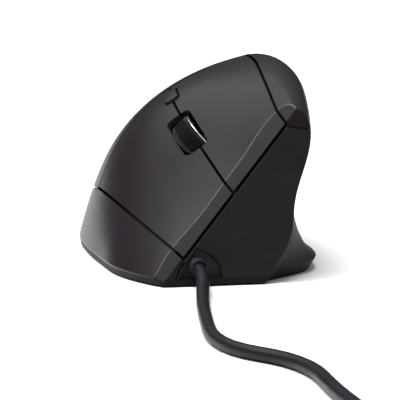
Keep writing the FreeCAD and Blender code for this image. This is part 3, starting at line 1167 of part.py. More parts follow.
tongue = start_body("plug_tongue", PLUG)
plate(tongue, "0", "Sizes.usb_height / 2 - Sizes.usb_wall - Sizes.tongue_height / 2", "Sizes.tongue_width",
      "Sizes.tongue_height", PLUG_FRONT + " - Sizes.usb_root", "Sizes.usb_length + Sizes.usb_root - Sizes.tongue_short")

# Checks and export
doc.recompute()
for item in doc.Objects:
    if "Invalid" in item.State or "Error" in item.State:
        raise RuntimeError("%s is in state %s" % (item.Label, item.State))
for piece in PIECES:
    shape = piece.Shape
    if shape.isNull() or not shape.isValid() or shape.Volume <= 0:
        raise RuntimeError("%s has no sound shape" % piece.Label)
for piece in PIECES:
    piece.Shape.exportStep("parts/%s.step" % piece.Label)
print("%d parts written" % len(PIECES))
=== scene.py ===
import json
import math

import bpy
import numpy as np
from bpy.props import FloatProperty, FloatVectorProperty, IntProperty, PointerProperty
from mathutils import Matrix


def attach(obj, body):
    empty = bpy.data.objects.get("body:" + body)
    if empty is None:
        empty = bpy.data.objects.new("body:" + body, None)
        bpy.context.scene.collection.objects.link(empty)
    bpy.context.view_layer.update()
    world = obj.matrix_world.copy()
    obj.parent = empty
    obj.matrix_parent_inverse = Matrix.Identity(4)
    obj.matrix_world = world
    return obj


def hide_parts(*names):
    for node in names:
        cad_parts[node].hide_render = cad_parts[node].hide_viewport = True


bl_info = {
    "name": "Vertical Mouse Dresser",
    "version": (1, 0, 0),
    "blender": (4, 5, 0),
    "location": "View3D > Sidebar > Mouse",
    "description": "Dresses the packed vertical mouse with its cord, wheel, finishes and studio",
    "category": "Object",
}

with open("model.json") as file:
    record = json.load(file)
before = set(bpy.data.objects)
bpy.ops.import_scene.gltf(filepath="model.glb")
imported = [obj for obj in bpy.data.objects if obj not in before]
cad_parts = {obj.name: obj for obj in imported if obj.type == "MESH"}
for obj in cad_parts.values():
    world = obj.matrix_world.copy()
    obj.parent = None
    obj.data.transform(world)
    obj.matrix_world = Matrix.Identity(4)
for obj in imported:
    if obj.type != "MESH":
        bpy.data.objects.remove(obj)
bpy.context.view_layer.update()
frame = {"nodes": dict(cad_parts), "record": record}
NODES = frame["nodes"]
MM = 0.001

# Frame of the buttons: leans by TILT about Y, with x up the slope and z out of the buttons.
# Its origin lies AXIS_X mm to the thumb side of the world's.
TILT = math.radians(48.0)
AXIS_X = 1.0

# Groove between the long buttons: its place up the slope at one depth, and how much it climbs per mm of depth
GROOVE_PLACE = 21.6
GROOVE_DEPTH = -49.5
GROOVE_SLOPE = 0.235
SLANT = math.atan(GROOVE_SLOPE)

# The wheel sits this far to the side of the groove
WHEEL_DEPTH = -20.0
WHEEL_SIDE = -1.2
WHEEL_SLOPE = GROOVE_PLACE + GROOVE_SLOPE * (WHEEL_DEPTH - GROOVE_DEPTH) + WHEEL_SIDE

# Meshes of the tyre and the ring
RIB_STEPS = 12
RIB_SHARPNESS = 1.4
RIB_FADE_SHOULDER = 0.5
RIB_FADE_RING = 0.3
TYRE_CORNER_STEPS = 7
TYRE_SECTION_STEP = 0.3
RING_STEPS = 180
RING_CORNER = 0.24
RING_CORNER_STEPS = 8

# Cord, in mm: the start hidden in the strain relief, the bend below it, the run on the desk and the tail
CORD_HIDDEN = 5.0
CORD_BEND_DEPTH = -66.5
CORD_BEND_DROP = 0.2
CORD_RUN = ((-15.0, -81.0), (-20.3, -105.5), (-27.7, -149.8), (-8.0, -172.3), (-10.4, -209.0))
COIL_ENTRY_DEPTH = -243.0
COIL_LAYERS = 4
COIL_CLIMB = 0.5
COIL_STEPS = 16
# The curve of order 3 cuts across its control points, so those of the coil lie this much further out
COIL_SWELL = 1.0097
TAIL_TOP = 18.0
TAIL_RUN = (40.0, 54.5)
PLUG_HEIGHT = 4.1

# Row of the four leads on the main board, in mm
LEADS_FROM = -18.5
LEADS_TO = -8.5

# Camera: its sensor in mm, and how far it sees in metres
SENSOR_WIDTH = 36.0
VIEW_END = 50.0

# Light, in metres: the sun's place and the way it shines, then each panel's place, target, width and height
SUN_PLACE = np.array((0, 0, 3))
SUN_WAY = np.array((0.15, -0.06, -1.0))
MOUSE_MIDDLE = (0.0, -0.02, 0.04)
THUMB_SIDE = (0.02, 0.0, 0.04)
PANELS = (
    ("key", (-0.76, 0.06, 0.96), MOUSE_MIDDLE, 0.26, 0.26),
    ("soft", (-0.36, 0.68, 0.84), MOUSE_MIDDLE, 0.6, 0.6),
    ("rim", (0.75, 0.45, 0.55), THUMB_SIDE, 0.5, 0.3),
)
# A light whose direction is this close to straight down is levelled by y and not by z
OVERHEAD = 0.95


def button_matrix():
    """Columns are the slope, the depth and the outward normal, in world axes."""
    c, s = math.cos(TILT), math.sin(TILT)
    return np.array([[c, 0.0, -s], [0.0, 1.0, 0.0], [s, 0.0, c]])


def place_wheel(points, wheel):
    """Points in the wheel's frame, in mm, to world metres: turned by SLANT about the outward normal, moved to
    the wheel's place and leaned with the buttons. The axle is x, and z points out of the buttons."""
    c, s = math.cos(SLANT), math.sin(SLANT)
    x, y, z = points[..., 0], points[..., 1], points[..., 2]
    turned = np.stack([x * c + y * s, -x * s + y * c, z], -1)
    turned = turned + np.array([wheel.slope, wheel.depth, wheel.height])
    world = turned @ button_matrix().T
    return (world + np.array([AXIS_X, 0.0, 0.0])) * MM


def placed(right, up, back, place):
    """World matrix whose columns are the right, up and back directions and the place."""
    return Matrix([[right[i], up[i], back[i], place[i]] for i in range(3)] + [[0, 0, 0, 1]])


# Mesh helpers


def grid_mesh(name, points, close_u=False, close_v=False, smooth=True):
    """Mesh object on a grid of points [u, v, xyz]: one face for each step in u and v. Either way round may
    close on itself."""
    nu, nv = points.shape[:2]
    iu = np.arange(nu if close_u else nu - 1)
    iv = np.arange(nv if close_v else nv - 1)
    a, b = np.meshgrid(iu, iv, indexing="ij")
    a2, b2 = (a + 1) % nu, (b + 1) % nv
    quads = np.stack([a * nv + b, a2 * nv + b, a2 * nv + b2, a * nv + b2], -1).reshape(-1, 4)
    mesh = bpy.data.meshes.new(name)
    mesh.vertices.add(nu * nv)
    mesh.vertices.foreach_set("co", points.reshape(-1).astype(np.float32))
    mesh.loops.add(quads.size)
    mesh.loops.foreach_set("vertex_index", quads.reshape(-1).astype(np.int32))
    mesh.polygons.add(len(quads))
    mesh.polygons.foreach_set("loop_start", np.arange(0, quads.size, 4, dtype=np.int32))
    mesh.polygons.foreach_set("use_smooth", np.full(len(quads), smooth))
    mesh.update(calc_edges=True)
    mesh.validate()
    made = bpy.data.objects.new(name, mesh)
    bpy.context.scene.collection.objects.link(made)
    return made


def rounded_rectangle(width, depth, radius, steps):
    """Closed outline as (x, r) points about the origin: at each corner the corner's centre plus radius times
    (cos a, sin a), where a runs over that corner's quarter turn."""
    signs = np.array([(1, 1), (-1, 1), (-1, -1), (1, -1)], float)
    centres = signs * (np.array([width, depth]) / 2 - radius)
    a = np.radians(90.0 * np.arange(4)[:, None] + 90.0 * np.arange(steps + 1) / steps)
    corners = centres[:, None, :] + radius * np.stack([np.cos(a), np.sin(a)], -1)
    return corners.reshape(-1, 2)


def subdivided(outline, step):
    """Closed outline with points added on each side: p + (q - p) k / n, where n whole steps fit on it."""
    side = np.roll(outline, -1, axis=0) - outline
    n = np.maximum(1, (np.hypot(side[:, 0], side[:, 1]) / step).astype(int))
    k = np.arange(n.sum()) - np.repeat(np.cumsum(n) - n, n)
    return np.repeat(outline, n, axis=0) + np.repeat(side, n, axis=0) * (k / np.repeat(n, n))[:, None]


def carried_round(x, r, a, wheel):
    """A profile carried round the axle by the angles a: (x, r sin a, r cos a), put in the wheel's place."""
    x, r, a = np.broadcast_arrays(x, r, a[:, None])
    return place_wheel(np.stack([x, r * np.sin(a), r * np.cos(a)], -1), wheel)


# Material helpers


class Look:
    """A node material with one Principled shader whose inputs are built up step by step."""

    def __init__(self, name, rough=0.5, metal=0.0, **inputs):
        self.material = bpy.data.materials.new(name)
        self.material.use_nodes = True
        self.tree = self.material.node_tree
        self.shader = self.tree.nodes["Principled BSDF"]
        self.shader.inputs["Roughness"].default_value = rough
        self.shader.inputs["Metallic"].default_value = metal
        for key, value in inputs.items():
            self.shader.inputs[key.replace("_", " ")].default_value = value
        self.coords = self.tree.nodes.new("ShaderNodeTexCoord").outputs["Object"]
        self.normal = None

    def node(self, kind, **settings):
        """A new node with some of its settings."""
        made = self.tree.nodes.new(kind)
        for key, value in settings.items():
            setattr(made, key, value)
        return made

    def link(self, a, b):
        self.tree.links.new(a, b)

    def along(self, axis):
        """One of the three Object coordinates, in metres."""
        split = self.node("ShaderNodeSeparateXYZ")
        self.link(self.coords, split.inputs["Vector"])
        return split.outputs[axis]

    def stretched(self, scale):
        """Object coordinates scaled per axis."""
        mapping = self.node("ShaderNodeMapping")
        mapping.inputs["Scale"].default_value = scale
        self.link(self.coords, mapping.inputs["Vector"])
        return mapping.outputs["Vector"]

    def noise(self, size_mm, detail=2.0, roughness=0.5, vector=None):
        """Noise from 0 to 1 whose largest features are about size_mm."""
        made = self.node("ShaderNodeTexNoise")
        made.inputs["Scale"].default_value = 1.0 / (size_mm * MM)
        made.inputs["Detail"].default_value = detail
        made.inputs["Roughness"].default_value = roughness
        self.link(vector or self.coords, made.inputs["Vector"])
        return made.outputs["Fac"]

    def cells(self, size_mm):
        """Distance to the nearest of scattered points, about size_mm apart."""
        made = self.node("ShaderNodeTexVoronoi")
        made.inputs["Scale"].default_value = 1.0 / (size_mm * MM)
        self.link(self.coords, made.inputs["Vector"])
        return made.outputs["Distance"]

    def ramp(self, value, stops):
        """Colours (place, colour) along a value from 0 to 1."""
        made = self.node("ShaderNodeValToRGB")
        made.color_ramp.elements[0].position = stops[0][0]
        made.color_ramp.elements[0].color = (*stops[0][1], 1)
        made.color_ramp.elements[1].position = stops[-1][0]
        made.color_ramp.elements[1].color = (*stops[-1][1], 1)
        for at, colour in stops[1:-1]:
            made.color_ramp.elements.new(at).color = (*colour, 1)
        self.link(value, made.inputs["Fac"])
        return made.outputs["Color"]

    def spread(self, value, low, high, start=0.3, end=0.7):
        """The stretch of a value from start to end, brought to run from low to high."""
        made = self.node("ShaderNodeMapRange")
        for key, amount in (("From Min", start), ("From Max", end), ("To Min", low), ("To Max", high)):
            made.inputs[key].default_value = amount
        self.link(value, made.inputs["Value"])
        return made.outputs["Result"]

    def mix(self, factor, first, second):
        """The first colour, a socket, and the second, a plain colour, mixed by a factor."""
        made = self.node("ShaderNodeMix", data_type="RGBA")
        self.link(factor, made.inputs["Factor"])
        self.link(first, made.inputs["A"])
        made.inputs["B"].default_value = (*second, 1)
        return made.outputs["Result"]

    def colour(self, source):
        self.link(source, self.shader.inputs["Base Color"])

    def rough(self, source):
        self.link(source, self.shader.inputs["Roughness"])

    def bump(self, height, depth_mm, strength):
        """Adds a bump on top of those before it."""
        made = self.node("ShaderNodeBump")
        made.inputs["Strength"].default_value = strength
        made.inputs["Distance"].default_value = depth_mm * MM
        self.link(height, made.inputs["Height"])
        if self.normal:
            self.link(self.normal, made.inputs["Normal"])
        self.normal = made.outputs["Normal"]
        self.link(self.normal, self.shader.inputs["Normal"])


def scaled(colour, by):
    return tuple(c * by for c in colour)


def moulded(name, colour, rough, grain_mm=0.25, grain_depth=0.02, smudge=0.06, **inputs):
    """Moulded plastic: fine grain, slow drift of colour, faint wipes in the gloss."""
    look = Look(name, rough, **inputs)
    drift = look.noise(9.0, detail=4.0, roughness=0.6)
    wipes = look.noise(6.0, detail=5.0, roughness=0.65)
    look.colour(look.ramp(drift, [(0.3, scaled(colour, 0.86)), (0.55, colour), (0.75, scaled(colour, 1.16))]))
    look.rough(look.spread(wipes, rough - smudge, rough + smudge))
    look.bump(look.noise(grain_mm, detail=3.0, roughness=0.6), grain_depth, strength=0.6)
    return look


def metal(name, colour, rough, along):
    """Drawn or turned metal with fine lines, drawn out by the given stretch."""
    look = Look(name, rough, metal=1.0)
    lines = look.noise(0.3, detail=3.0, roughness=0.7, vector=look.stretched(along))
    look.colour(look.ramp(look.noise(3.0, detail=3.0), [(0.3, scaled(colour, 0.86)), (0.7, colour)]))
    look.rough(look.spread(lines, rough * 0.75, rough * 1.35))
    look.bump(lines, 0.01, strength=0.5)
    return look


def soft_skin(colour):
    """Soft coat on the shells and buttons: warm dark grey, very fine grain, low broad sheen."""
    look = moulded("soft_skin", colour, 0.33, grain_mm=0.16, grain_depth=0.008, smudge=0.018,
                   Specular_IOR_Level=0.22)
    look.bump(look.noise(14.0), 0.02, strength=0.25)
    return look


def front_skin(colour):
    """Satin skin of the front and the thumb side: finer grain and hardly any sheen, so that it reads darker
    than the soft coat."""
    look = moulded("front_skin", colour, 0.53, grain_mm=0.14, grain_depth=0.008, smudge=0.02,
                   Specular_IOR_Level=0.09)
    look.bump(look.noise(16.0), 0.02, strength=0.2)
    return look


def board(name):
    """Circuit board: green mask over copper tracks, with pale rings of solder."""
    look = Look(name, 0.32, Coat_Weight=0.4, Coat_Roughness=0.2)
    tracks = look.node("ShaderNodeTexBrick", offset=0.5, squash=1.0)
    look.link(look.coords, tracks.inputs["Vector"])
    for key, value in (("Scale", 260.0), ("Mortar Size", 0.04), ("Brick Width", 0.9), ("Row Height", 0.35)):
        tracks.inputs[key].default_value = value
    tracks.inputs["Color1"].default_value = (0.012, 0.075, 0.03, 1)
    tracks.inputs["Color2"].default_value = (0.015, 0.09, 0.037, 1)
    tracks.inputs["Mortar"].default_value = (0.03, 0.17, 0.06, 1)
    dots = look.ramp(look.cells(3.4), [(0.10, (1, 1, 1)), (0.14, (0, 0, 0))])
    look.colour(look.mix(dots, tracks.outputs["Color"], (0.62, 0.6, 0.52)))
    look.bump(tracks.outputs["Fac"], 0.03, strength=0.5)
    look.rough(look.spread(look.noise(4.0, detail=3.0), 0.26, 0.4))
    return look


def base_skin_with_painted_shade(low, high):
    """Plastic of the base and of the panel round the cord, with painted shade and light: blackest next to the
    desk as painted shade, and painted lighter from 3 to 6 mm up, as if the panel round the cord caught more
    light."""
    look = moulded("base_plastic", low, 0.55, grain_mm=0.3, grain_depth=0.02, smudge=0.03,
                   Specular_IOR_Level=0.14)
    # Painted shade and light: the colour ramps by height from the shaded tint at the desk to the lit tint
    # above
    shade_to_light = look.spread(look.along("Z"), 0.0, 1.0, start=3.0 * MM, end=6.0 * MM)
    look.colour(look.ramp(shade_to_light, [(0.0, low), (1.0, high)]))
    return look


def rubber(name, colour, rough, grain=0.3):
    """Soft rubber: moulded grain with a second, coarser unevenness."""
    look = moulded(name, colour, rough, grain_mm=grain, grain_depth=0.02, smudge=0.07, Specular_IOR_Level=0.2)
    look.bump(look.noise(2.0, detail=3.0), 0.02, strength=0.3)
    return look


def lead_wires():
    """Four wire colours side by side across the leads, with a faint stranding."""
    red, white, green, black = (0.35, 0.02, 0.02), (0.6, 0.6, 0.58), (0.02, 0.2, 0.04), (0.02, 0.02, 0.02)
    look = Look("lead_wire", 0.35, Coat_Weight=0.2)
    across = look.spread(look.along("X"), 0.0, 1.0, start=LEADS_FROM * MM, end=LEADS_TO * MM)
    look.colour(look.ramp(across, [(0.0, red), (0.28, red), (0.32, white), (0.5, white),
                                   (0.54, green), (0.72, green), (0.76, black), (1.0, black)]))
    look.bump(look.noise(0.5), 0.02, strength=0.3)
    look.rough(look.spread(look.noise(3.0), 0.3, 0.45))
    return look


def clear_lens():
    """Clear moulded lens, faintly clouded."""
    look = Look("lens_clear", 0.06, Transmission_Weight=0.9, IOR=1.49)
    look.colour(look.ramp(look.noise(5.0), [(0.3, (0.86, 0.9, 0.9)), (0.7, (0.95, 0.97, 0.97))]))
    look.rough(look.spread(look.noise(2.0, detail=3.0), 0.03, 0.12))
    return look


def chrome(low, high):
    """Bright plating that drifts between two greys."""
    look = Look("ring_chrome", 0.09, metal=1.0)
    look.colour(look.ramp(look.noise(2.0), [(0.3, low), (0.7, high)]))
    look.rough(look.spread(look.noise(1.2, detail=4.0), 0.06, 0.14))
    look.bump(look.noise(0.8), 0.004, strength=0.3)
    return look


def plain(name, colour, rough, grain_mm, grain_depth):
    """Moulded plastic of an inner piece."""
    return moulded(name, colour, rough, grain_mm=grain_mm, grain_depth=grain_depth)


def all_looks(s):
    """One finish for each material slot of the record."""
    return {
        "soft_skin": soft_skin(s.soft_skin),
        "front_skin": front_skin(s.front_skin),
        "key_plastic": moulded("key_plastic", s.key_plastic, 0.3, grain_mm=0.5, grain_depth=0.004,
                               smudge=0.05, Specular_IOR_Level=0.3),
        "base_plastic": base_skin_with_painted_shade(s.base_shaded_at_desk, s.base_lit_above),
        "foot_slide": plain("foot_slide", (0.05, 0.05, 0.052), 0.3, 0.8, 0.01),
        "relief_rubber": rubber("relief_rubber", s.relief_rubber, 0.6),
        "frame_plastic": plain("frame_plastic", (0.03, 0.03, 0.031), 0.5, 0.6, 0.02),
        "pin_steel": metal("pin_steel", (0.62, 0.62, 0.63), 0.28, (1, 8, 8)),
        "screw_steel": metal("screw_steel", (0.55, 0.55, 0.56), 0.35, (4, 4, 1)),
        "board_green": board("board_green"),
        "tyre_rubber": rubber("tyre_rubber", s.tyre_rubber, 0.34, grain=0.2),
        "hub_plastic": plain("hub_plastic", (0.02, 0.02, 0.02), 0.4, 0.5, 0.01),
        "ring_chrome": chrome(s.chrome_low, s.chrome_high),
        "encoder_plastic": plain("encoder_plastic", (0.03, 0.06, 0.04), 0.45, 0.4, 0.02),
        "switch_case": plain("switch_case", (0.016, 0.016, 0.017), 0.35, 0.5, 0.01),
        "plunger_plastic": plain("plunger_plastic", (0.45, 0.05, 0.04), 0.3, 0.6, 0.005),
        "lens_clear": clear_lens(),
        "chip_black": plain("chip_black", (0.012, 0.012, 0.013), 0.6, 0.15, 0.02),
        "header_white": plain("header_white", (0.62, 0.60, 0.52), 0.45, 0.6, 0.01),
        "lead_wire": lead_wires(),
        "cord_jacket": rubber("cord_jacket", s.cord_jacket, 0.42, grain=0.25),
        "tie_strap": rubber("tie_strap", (0.015, 0.015, 0.015), 0.5),
        "plug_plastic": plain("plug_plastic", (0.016, 0.016, 0.018), 0.42, 0.3, 0.02),
        "plug_steel": metal("plug_steel", (0.66, 0.65, 0.62), 0.25, (6, 1, 6)),
        "tongue_plastic": plain("tongue_plastic", (0.55, 0.55, 0.52), 0.4, 0.5, 0.01),
    }


# Settings


def number(name, description, default, **more):
    return FloatProperty(name=name, description=description, default=default, **more)


def angle(name, description, degrees):
    return FloatProperty(name=name, description=description, default=math.radians(degrees), subtype="ANGLE")


def tint(name, description, default):
    return FloatVectorProperty(name=name, description=description, default=default, size=3, subtype="COLOR",
                               min=0.0, max=1.0)


class CameraSettings(bpy.types.PropertyGroup):
    azimuth: angle("Azimuth", "How far to the right of straight in front", -13.0)
    elevation: angle("Elevation", "How far above the desk", 9.0)
    place: FloatVectorProperty(name="Place", description="Place of the camera", size=3, unit="LENGTH",
                               default=(-0.1646, -0.7258, 0.1353))
    lens: number("Lens", "Focal length", 204.75, unit="CAMERA")


class StageSettings(bpy.types.PropertyGroup):
    floor_half: number("Floor", "Half the width of the floor", 6.0, unit="LENGTH")
    sky: number("Sky", "Brightness of the sky overhead", 0.85)
    horizon: number("Horizon", "Brightness near the horizon, as a share of the sky's", 0.1)
    horizon_top: number("Horizon height", "Height up to which the sky is dark, as a share", 0.34)
    sun: number("Sun", "Strength of the sun", 3.1)
    sun_angle: angle("Sun angle", "Width of the sun: wider is softer", 38.0)
    key: number("Key panel", "Small panel that draws the bright lines along the edges", 5.6, unit="POWER")
    soft: number("Soft panel", "Large panel behind the top", 1.2, unit="POWER")
    rim: number("Rim panel", "Faint panel on the thumb side", 0.08, unit="POWER")


class CordSettings(bpy.types.PropertyGroup):
    radius: number("Radius", "Half the thickness of the cord, in mm", 2.0)
    exit_at: FloatVectorProperty(name="Exit", description="Where the cord leaves its collar, in mm", size=3,
                                 default=(-11.2, -57.66, 6.2))
    coil_centre: FloatVectorProperty(name="Coil centre", description="Middle of the coil on the desk, in mm",
                                     size=2, default=(17.0, -280.0))
    coil_inner: number("Coil inner radius", "Radius of the innermost turn, in mm", 16.5)
    coil_pitch: number("Coil pitch", "Step from turn to turn and from layer to layer, in mm", 4.5)
    coil_turns: number("Turns in a layer", "Turns before the cord climbs to the next layer", 2.25)
    coil_low: number("First layer height", "Height of the lowest turns' middle, in mm", 3.0)
    coil_dip: number("Dip of a climb", "How far a climb swings clear of the turns beside it, in mm", 1.3)
    length: number("Length", "Length of the whole cord", 1.70, unit="LENGTH")


class WheelSettings(bpy.types.PropertyGroup):
    slope: number("Place up the slope", "Middle of the wheel up the leaning face, in mm", WHEEL_SLOPE)
    depth: number("Place in depth", "Middle of the wheel from front to back, in mm", WHEEL_DEPTH)
    height: number("Place outwards", "Middle of the wheel along the face's normal, in mm", 26.6)
    radius: number("Radius", "Radius over the ribs, in mm", 10.9)
    width: number("Tyre width", "Width of the tyre without its shoulder, in mm", 6.0)
    tyre_depth: number("Tyre depth", "Thickness of the tyre, in mm", 2.2)
    ribs: IntProperty(name="Ribs", description="Ribs round the tyre", default=76, min=8)
    rib_depth: number("Rib depth", "Depth of the cuts between the ribs, in mm", 0.5)
    rib_end: number("Shoulder", "Plain shoulder beyond the ribs, in mm", 0.4)
    shoulder: number("Shoulder radius", "Rounding of the tyre's edges, in mm", 1.0)
    ring_width: number("Ring width", "Room for the ring beside the tyre, in mm", 0.7)
    ring_depth: number("Ring depth", "Height of the ring's section, in mm", 1.6)
    ring_set: number("Ring set back", "How far the ring lies below the ribs, in mm", 0.4)
    ring_play: number("Ring play", "How much narrower the ring is than its room, in mm", 0.2)


class FinishSettings(bpy.types.PropertyGroup):
    soft_skin: tint("Soft coat", "Shells and buttons", (0.0128, 0.0097, 0.0127))
    front_skin: tint("Front", "Front and thumb side", (0.0168, 0.0150, 0.0170))
    key_plastic: tint("Small keys", "Speed key and thumb buttons", (0.010, 0.009, 0.010))
    # Painted shade and light: the base is painted darker at the desk and lighter higher up, on the cord panel
    base_shaded_at_desk: tint("Base at the desk", "Base and cord panel next to the desk", (0.006, 0.006, 0.0065))
    base_lit_above: tint("Base above", "Base and cord panel further up", (0.022, 0.0205, 0.0225))
    relief_rubber: tint("Strain relief", "Collar of the cord", (0.013, 0.014, 0.0155))
    tyre_rubber: tint("Tyre", "Rubber of the wheel", (0.0045, 0.0042, 0.0048))
    chrome_low: tint("Ring, darker", "Darker grey of the bright ring", (0.55, 0.54, 0.56))
    chrome_high: tint("Ring, lighter", "Lighter grey of the bright ring", (0.66, 0.65, 0.68))
    cord_jacket: tint("Cord", "Jacket of the cord", (0.0070, 0.0080, 0.0102))


class MouseSettings(bpy.types.PropertyGroup):
    camera: PointerProperty(type=CameraSettings, name="Camera", description="Where the picture is taken from")
    stage: PointerProperty(type=StageSettings, name="Stage", description="Floor and light")
    cord: PointerProperty(type=CordSettings, name="Cord", description="Route and size of the cord")
    wheel: PointerProperty(type=WheelSettings, name="Wheel", description="Tyre and ring")
    finishes: PointerProperty(type=FinishSettings, name="Finishes", description="Colours of pieces in view")


LOOKS = {}


def finish(piece, slot):
    piece.data.materials.clear()
    piece.data.materials.append(LOOKS[slot].material)


class MOUSE_OT_camera(bpy.types.Operator):
    """Camera at the viewing angle of the picture"""
    bl_idname = "mouse.camera"
    bl_label = "Camera"

    def execute(self, context):
        s = context.scene.mouse.camera
        a, e = s.azimuth, s.elevation
        back = np.array([math.sin(a) * math.cos(e), -math.cos(a) * math.cos(e), math.sin(e)])
        right = np.array([math.cos(a), math.sin(a), 0.0])
        data = bpy.data.cameras.new("view")
        data.lens = s.lens
        data.sensor_width = SENSOR_WIDTH
        data.clip_end = VIEW_END
        camera = bpy.data.objects.new("view", data)
        context.scene.collection.objects.link(camera)
        camera.matrix_world = placed(right, np.cross(back, right), back, s.place)
        context.scene.camera = camera
        return {"FINISHED"}


class MOUSE_OT_stage(bpy.types.Operator):
    """Pale floor and soft studio light"""
    bl_idname = "mouse.stage"
    bl_label = "Stage"

    def execute(self, context):
        s = context.scene.mouse.stage
        self.floor(s.floor_half)
        self.sky(context, s)
        data = bpy.data.lights.new("sun", "SUN")
        data.energy = s.sun
        data.angle = s.sun_angle
        self.hang(context, data, SUN_PLACE, SUN_PLACE + SUN_WAY)
        for name, place, target, wide, high in PANELS:
            data = bpy.data.lights.new(name + "_panel", "AREA")
            data.shape = "RECTANGLE"
            data.size, data.size_y = wide, high
            data.energy = getattr(s, name)
            self.hang(context, data, place, target)
        context.scene.view_settings.view_transform = "Standard"
        return {"FINISHED"}

    def floor(self, h):
        """A square in the plane of the desk."""
        corners = np.array([[[-h, -h, 0], [-h, h, 0]], [[h, -h, 0], [h, h, 0]]], float)
        floor = grid_mesh("floor", corners, smooth=False)
        look = Look("floor_white", 0.8, Specular_IOR_Level=0.1)
        paler = [(0.3, (0.955, 0.955, 0.955)), (0.7, (0.965, 0.965, 0.965))]
        look.colour(look.ramp(look.noise(400.0), paler))
        floor.data.materials.append(look.material)

    def sky(self, context, s):
        """Sky that goes from a dark horizon to white overhead, so that grazing reflections stay dark."""
        world = bpy.data.worlds.new("studio")
        world.use_nodes = True
        tree = world.node_tree
        across = tree.nodes.new("ShaderNodeTexCoord")
        split = tree.nodes.new("ShaderNodeSeparateXYZ")
        ramp = tree.nodes.new("ShaderNodeValToRGB")
        ramp.color_ramp.elements[0].color = (s.horizon, s.horizon, s.horizon, 1)
        ramp.color_ramp.elements[0].position = s.horizon_top
        tree.links.new(across.outputs["Generated"], split.inputs["Vector"])
        tree.links.new(split.outputs["Z"], ramp.inputs["Fac"])
        tree.links.new(ramp.outputs["Color"], tree.nodes["Background"].inputs["Color"])
        tree.nodes["Background"].inputs["Strength"].default_value = s.sky
        context.scene.world = world

    def hang(self, context, data, place, target):
        """Puts a light at its place, turned to shine at the target."""
        made = bpy.data.objects.new(data.name, data)
        context.scene.collection.objects.link(made)
        back = np.array(place, float) - np.array(target, float)
        back /= np.linalg.norm(back)
        right = np.cross((0, 1, 0) if abs(back[2]) > OVERHEAD else (0, 0, 1), back)
        right /= np.linalg.norm(right)
        made.matrix_world = placed(right, np.cross(back, right), back, place)


class MOUSE_OT_finishes(bpy.types.Operator):
    """Finishes of all the solids"""
    bl_idname = "mouse.finishes"
    bl_label = "Finishes"

    def execute(self, context):
        LOOKS.update(all_looks(context.scene.mouse.finishes))
        slots = {entry["node"]: entry["material_slot"] for entry in frame["record"]["subparts"]}
        for name, node in NODES.items():
            node.data.materials.clear()
            node.data.materials.append(LOOKS[slots[name]].material)
        return {"FINISHED"}


class MOUSE_OT_cord(bpy.types.Operator):
    """The cord, from its strain relief over the desk through the tied coil to the plug"""
    bl_idname = "mouse.cord"
    bl_label = "Cord"

    def coil(self, s, out):
        """Control points of the coil. Its radius goes from outer to inner and back by one pitch a turn. Its
        height goes up by one pitch in the half turn between layers, as (1 - cos) / 2, and there it swings
        clear of the turns beside it by coil_dip times a sine."""
        cx, cy = s.coil_centre
        layer_turns = s.coil_turns + COIL_CLIMB
        total = COIL_LAYERS * s.coil_turns + (COIL_LAYERS - 1) * COIL_CLIMB
        points = []
        for k in range(int(round(total * COIL_STEPS)) + 1):
            turn = k / COIL_STEPS
            layer = min(int(turn // layer_turns), COIL_LAYERS - 1)
            along = turn - layer * layer_turns
            inward = layer % 2 == 0
            if along <= s.coil_turns:
                radius = out - s.coil_pitch * along if inward else s.coil_inner + s.coil_pitch * along
                height = s.coil_low + s.coil_pitch * layer
            else:
                half = (along - s.coil_turns) / COIL_CLIMB
                swing = s.coil_dip * math.sin(math.pi * half)
                radius = s.coil_inner - swing if inward else out + swing
                height = s.coil_low + s.coil_pitch * (layer + (1 - math.cos(math.pi * half)) / 2)
            radius *= COIL_SWELL
            angle = math.pi + 2 * math.pi * turn
            points.append((cx + radius * math.cos(angle), cy + radius * math.sin(angle), height))
        return points

    def route(self, s):
        """Control points in mm: out of the collar, down to the desk, along it, through the coil and down to
        the plug."""
        ex, ey, ez = s.exit_at
        cx, cy = s.coil_centre
        out = s.coil_inner + s.coil_turns * s.coil_pitch
        right = cx + out
        top = s.coil_low + (COIL_LAYERS - 1) * s.coil_pitch
        start = [(ex, ey + CORD_HIDDEN, ez), (ex, CORD_BEND_DEPTH, ez - CORD_BEND_DROP)]
        run = [(x, y, s.radius) for x, y in CORD_RUN]
        tail = [(right, cy + TAIL_TOP, top)] + [(right, cy + y, PLUG_HEIGHT) for y in TAIL_RUN]
        return start + run + [(cx - out, COIL_ENTRY_DEPTH, s.coil_low)] + self.coil(s, out) + tail

    def execute(self, context):
        s = context.scene.mouse.cord
        points = self.route(s)
        curve = bpy.data.curves.new("cord_line", "CURVE")
        curve.dimensions = "3D"
        curve.bevel_depth = s.radius * MM
        curve.bevel_resolution = 5
        curve.resolution_u = 6
        curve.use_fill_caps = True
        line = curve.splines.new("NURBS")
        line.points.add(len(points) - 1)
        line.points.foreach_set("co", [c for x, y, z in points for c in (x * MM, y * MM, z * MM, 1.0)])
        line.order_u = 3
        line.use_endpoint_u = True
        cord = bpy.data.objects.new("cord_line", curve)
        context.scene.collection.objects.link(cord)
        finish(cord, "cord_jacket")
        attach(cord, "housing")
        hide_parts("cord", "cord_coil", "cord_tail")
        return {"FINISHED"}


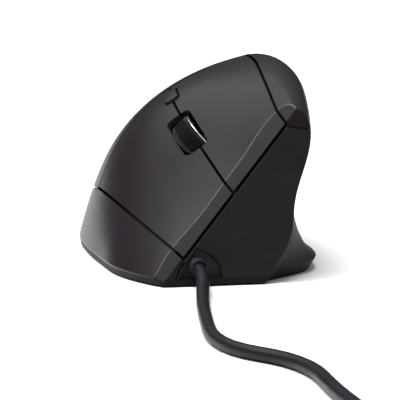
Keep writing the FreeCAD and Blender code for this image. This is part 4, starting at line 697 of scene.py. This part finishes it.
class MOUSE_OT_tyre(bpy.types.Operator):
    """Ribbed tyre of the wheel"""
    bl_idname = "mouse.tyre"
    bl_label = "Tyre"

    def execute(self, context):
        """A rounded section carried round the axle: r = middle + section - depth * g(a) * e(x) * o, where
        g = (0.5 + 0.5 cos(ribs a)) ^ RIB_SHARPNESS cuts the ribs, e fades them out at the ring and at the
        plain shoulder, and o lets only the outer half of the section have them."""
        s = context.scene.mouse.wheel
        around = s.ribs * RIB_STEPS
        a = np.arange(around) * 2 * math.pi / around
        outline = rounded_rectangle(s.width + s.ring_width, s.tyre_depth, s.shoulder, TYRE_CORNER_STEPS)
        section = subdivided(outline, TYRE_SECTION_STEP)
        x = section[:, 0] - s.ring_width / 2
        outward = np.clip(section[:, 1] / (s.tyre_depth / 2), 0, 1)
        at_shoulder = np.clip((x + s.width / 2 - s.rib_end) / RIB_FADE_SHOULDER, 0, 1)
        at_ring = np.clip((s.width / 2 - x) / RIB_FADE_RING, 0, 1)
        cut = (0.5 + 0.5 * np.cos(s.ribs * a))[:, None] ** RIB_SHARPNESS
        middle = s.radius - s.tyre_depth / 2
        r = middle + section[:, 1] - s.rib_depth * cut * at_shoulder * at_ring * outward
        tyre = grid_mesh("tyre_ribbed", carried_round(x, r, a, s), True, True)
        finish(tyre, "tyre_rubber")
        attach(tyre, "wheel")
        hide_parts("wheel_tyre")
        return {"FINISHED"}


class MOUSE_OT_ring(bpy.types.Operator):
    """Bright ring beside the tyre"""
    bl_idname = "mouse.ring"
    bl_label = "Ring"

    def execute(self, context):
        """A rounded rectangle carried round the axle: r = middle + section, x = side + section."""
        s = context.scene.mouse.wheel
        a = np.arange(RING_STEPS) * 2 * math.pi / RING_STEPS
        section = rounded_rectangle(s.ring_width - s.ring_play, s.ring_depth, RING_CORNER, RING_CORNER_STEPS)
        r = s.radius - s.ring_set - s.ring_depth / 2 + section[:, 1]
        x = s.width / 2 + s.ring_width / 2 + section[:, 0]
        ring = grid_mesh("ring_bright", carried_round(x, r, a, s), True, True)
        finish(ring, "ring_chrome")
        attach(ring, "wheel")
        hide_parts("wheel_ring")
        return {"FINISHED"}


STEPS = ["mouse.camera", "mouse.finishes", "mouse.cord", "mouse.tyre", "mouse.ring", "mouse.stage"]


class MOUSE_PT_panel(bpy.types.Panel):
    """Lists the steps in the order in which they run"""
    bl_label = "Mouse"
    bl_idname = "MOUSE_PT_panel"
    bl_space_type = "VIEW_3D"
    bl_region_type = "UI"
    bl_category = "Mouse"

    def draw(self, context):
        for step in STEPS:
            self.layout.operator(step)


CLASSES = [CameraSettings, StageSettings, CordSettings, WheelSettings, FinishSettings, MouseSettings,
           MOUSE_OT_camera, MOUSE_OT_finishes, MOUSE_OT_cord, MOUSE_OT_tyre, MOUSE_OT_ring, MOUSE_OT_stage,
           MOUSE_PT_panel]


def register():
    for item in CLASSES:
        bpy.utils.register_class(item)
    bpy.types.Scene.mouse = PointerProperty(type=MouseSettings)


def unregister():
    del bpy.types.Scene.mouse
    for item in reversed(CLASSES):
        bpy.utils.unregister_class(item)


def main():
    register()
    for step in STEPS:
        group, name = step.split(".")
        getattr(getattr(bpy.ops, group), name)()


if __name__ == "__main__":
    main()
